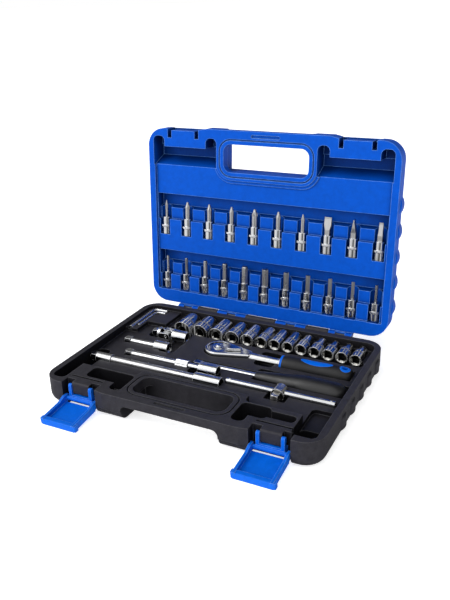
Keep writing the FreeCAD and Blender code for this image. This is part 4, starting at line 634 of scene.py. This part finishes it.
class KnurledBands(bpy.types.Operator):
    """Knurled rings on the bit sockets and on the long extension"""

    bl_idname = "socketset.knurls"
    bl_label = "Knurled bands"

    def execute(self, context):
        tilt = Matrix.Rotation(-LID_TILT, 4, "X")
        for name in UPPER_BITS + LOWER_BITS:
            low, high = (Vector(corner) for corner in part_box(name))
            foot = Vector(((low.x + high.x) / 2, low.y + RING_R * SLOPE.z - RING_SPAN[0] * SLOPE.y,
                           low.z + HOLDER_R * SLOPE.y))
            place = Matrix.Translation(foot + SLOPE * RING_SPAN[0]) @ tilt
            self.add(context, name, place, RING_R, RING_SPAN)
        low, high = (Vector(corner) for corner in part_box("extension_long"))
        middle = (low + high) / 2
        start = Vector((low.x + BAND_SPAN[0], middle.y, middle.z))
        place = Matrix.Translation(start) @ Matrix.Rotation(math.pi / 2, 4, "Y")
        self.add(context, "extension_long", place, BAND_R, BAND_SPAN)
        return {"FINISHED"}

    def add(self, context, node, place, radius, span):
        tool = context.scene.socketset_tool
        slot = "tool_chrome"
        half = tool.knurl_depth / 2
        length = span[1] - span[0]
        mesh = knurled_band(node + "_knurl", radius + half, radius - half, length, tool.knurl_teeth)
        mesh.transform(place)
        mesh.materials.append(bpy.data.materials[slot])
        band = placed(context, node + "_knurl", mesh)
        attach(band, node)


class KnuckleSleeves(bpy.types.Operator):
    """Thicker skin round the black hinge knuckles, up to the edge of the lid"""

    bl_idname = "socketset.sleeves"
    bl_label = "Knuckle sleeves"

    def execute(self, context):
        low, high = (Vector(corner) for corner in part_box("hinge_rod"))
        axis = (low + high) / 2
        for number, (start, end) in enumerate(KNUCKLE_SPANS, 1):
            name = "knuckle_sleeve_" + str(number)
            mesh = sleeve(name, (start + SLEEVE_INSET, end - SLEEVE_INSET), axis)
            mesh.materials.append(bpy.data.materials["base_black_moulding"])
            ring = placed(context, name, mesh)
            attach(ring, "base")
        return {"FINISHED"}


class GripsFinish(bpy.types.Operator):
    """Rubber and plastic on the handles"""

    bl_idname = "socketset.grips"
    bl_label = "Handles"

    def execute(self, context):
        case = context.scene.socketset_case
        tool = context.scene.socketset_tool
        rubber = moulded_plastic("grip_rubber", tool.rubber_colour, case.base_edge_highlight, GRIP_GRAIN, GRIP_EDGE,
                                 roughness=0.5, depth=RUBBER_GRAIN_DEPTH, gloss=0.3)
        black = moulded_plastic("handle_black", tool.rubber_colour, case.base_edge_highlight, HANDLE_GRAIN, GRIP_EDGE,
                                roughness=0.36, gloss=0.4)
        blue = moulded_plastic("grip_blue_inlay", case.latch_colour, case.lid_edge_highlight, GRIP_GRAIN, INLAY_EDGE,
                               roughness=0.35)
        dress(["grip_sleeve"], rubber)
        dress(["spinner_handle"], black)
        dress(["grip_core"], blue)
        return {"FINISHED"}


class StudioStage(bpy.types.Operator):
    """Pale floor, soft light and the camera"""

    bl_idname = "socketset.studio"
    bl_label = "Studio"

    def execute(self, context):
        studio = context.scene.socketset_studio
        self.floor(context, studio)
        self.even_light(context, studio)
        self.lamps(context, studio)
        self.camera(context, studio)
        context.scene.view_settings.view_transform = "Standard"
        return {"FINISHED"}

    def paper(self, studio):
        """White glowing paper, which polished metal mirrors as a darker table."""
        material, tree, shader = blank("floor_paper", roughness=0.9, specular=0.0)
        across = along(tree, (math.cos(studio.azimuth), math.sin(studio.azimuth), 0.0))
        table = ranged(tree, maths(tree, "ABSOLUTE", across), MIRROR_REACH, MIRROR_TONES)
        white = blended(tree, noise(tree, own_place(tree), FLOOR_MOTTLE),
                        shade(studio.floor_colour, FLOOR_SHADE), studio.floor_colour)
        mirrored = new_node(tree, "ShaderNodeLightPath").outputs["Is Glossy Ray"]
        colour = blended(tree, mirrored, white, table)
        link(tree, colour, shader.inputs["Base Color"])
        link(tree, colour, shader.inputs["Emission Color"])
        shader.inputs["Emission Strength"].default_value = studio.floor_glow
        return material

    def floor(self, context, studio):
        shape = bmesh.new()
        bmesh.ops.create_grid(shape, x_segments=1, y_segments=1, size=studio.floor_reach)
        mesh = mesh_of(shape, "floor")
        mesh.materials.append(self.paper(studio))
        floor = placed(context, "floor", mesh)

    def even_light(self, context, studio):
        """Dim sky over a bright horizon, white where the camera sees it."""
        world = bpy.data.worlds.new("studio_sky")
        world.use_nodes = True
        tree = world.node_tree
        split = new_node(tree, "ShaderNodeSeparateXYZ")
        link(tree, new_node(tree, "ShaderNodeTexCoord").outputs["Generated"], split.inputs[0])
        glow = ranged(tree, split.outputs["Z"], HORIZON, (1.0, studio.sky))
        seen = new_node(tree, "ShaderNodeLightPath").outputs["Is Camera Ray"]
        background = tree.nodes["Background"]
        feed(tree, background.inputs["Color"], WHITE)
        feed(tree, background.inputs["Strength"], maths(tree, "MAXIMUM", glow, seen))
        context.scene.world = world

    def aim(self, lamp, direction):
        lamp.rotation_euler = Vector(direction).to_track_quat("-Z", "Y").to_euler()

    def softbox(self, context, name, place, target, size, power):
        light = bpy.data.lights.new(name, "AREA")
        light.shape = "RECTANGLE"
        light.size, light.size_y = size
        light.energy = power
        lamp = placed(context, name, light)
        lamp.location = place
        self.aim(lamp, Vector(target) - Vector(place))

    def lamps(self, context, studio):
        ceiling = bpy.data.lights.new("ceiling", "SUN")
        ceiling.energy = studio.sun
        ceiling.angle = studio.sun_spread
        self.aim(placed(context, "ceiling", ceiling), CEILING_AIM)
        self.softbox(context, "key_softbox", KEY_PLACE, KEY_TARGET, KEY_SIZE, studio.key)
        self.softbox(context, "fill_softbox", FILL_PLACE, FILL_TARGET, FILL_SIZE, studio.fill)

    def camera(self, context, studio):
        ca, sa = math.cos(studio.azimuth), math.sin(studio.azimuth)
        ce, se = math.cos(studio.elevation), math.sin(studio.elevation)
        ahead = -Vector((sa * ce, -ca * ce, se))
        right = ahead.cross(Vector((0.0, 0.0, 1.0))).normalized()
        up = right.cross(ahead)
        cr, sr = math.cos(studio.roll), math.sin(studio.roll)
        right, up = cr * right + sr * up, cr * up - sr * right
        lens = bpy.data.cameras.new("camera")
        lens.lens = studio.lens
        lens.sensor_width = 36.0
        lens.clip_start = 0.01
        camera = placed(context, "camera", lens)
        turn = Matrix((right, up, -ahead)).transposed().to_4x4()
        camera.matrix_world = Matrix.Translation(Vector(studio.camera_place)) @ turn
        context.scene.camera = camera


class SocketSetPanel(bpy.types.Panel):
    """Lists the finishing steps"""

    bl_idname = "VIEW3D_PT_socketset"
    bl_label = "Socket set"
    bl_space_type = "VIEW_3D"
    bl_region_type = "UI"
    bl_category = "Socket set"

    def draw(self, context):
        for operator in OPERATORS:
            self.layout.operator(operator.bl_idname)


OPERATORS = (ShellsFinish, LatchesFinish, MetalFinish, KnurledBands, KnuckleSleeves, GripsFinish,
             StudioStage)
CLASSES = (CaseFinish, ToolFinish, StudioSetup) + OPERATORS + (SocketSetPanel,)


def register():
    for item in CLASSES:
        bpy.utils.register_class(item)
    bpy.types.Scene.socketset_case = bpy.props.PointerProperty(type=CaseFinish)
    bpy.types.Scene.socketset_tool = bpy.props.PointerProperty(type=ToolFinish)
    bpy.types.Scene.socketset_studio = bpy.props.PointerProperty(type=StudioSetup)


def unregister():
    del bpy.types.Scene.socketset_case
    del bpy.types.Scene.socketset_tool
    del bpy.types.Scene.socketset_studio
    for item in reversed(CLASSES):
        bpy.utils.unregister_class(item)


def main():
    register()
    bpy.ops.socketset.shells()
    bpy.ops.socketset.latches()
    bpy.ops.socketset.metal()
    bpy.ops.socketset.knurls()
    bpy.ops.socketset.sleeves()
    bpy.ops.socketset.grips()
    bpy.ops.socketset.studio()


if __name__ == "__main__":
    main()
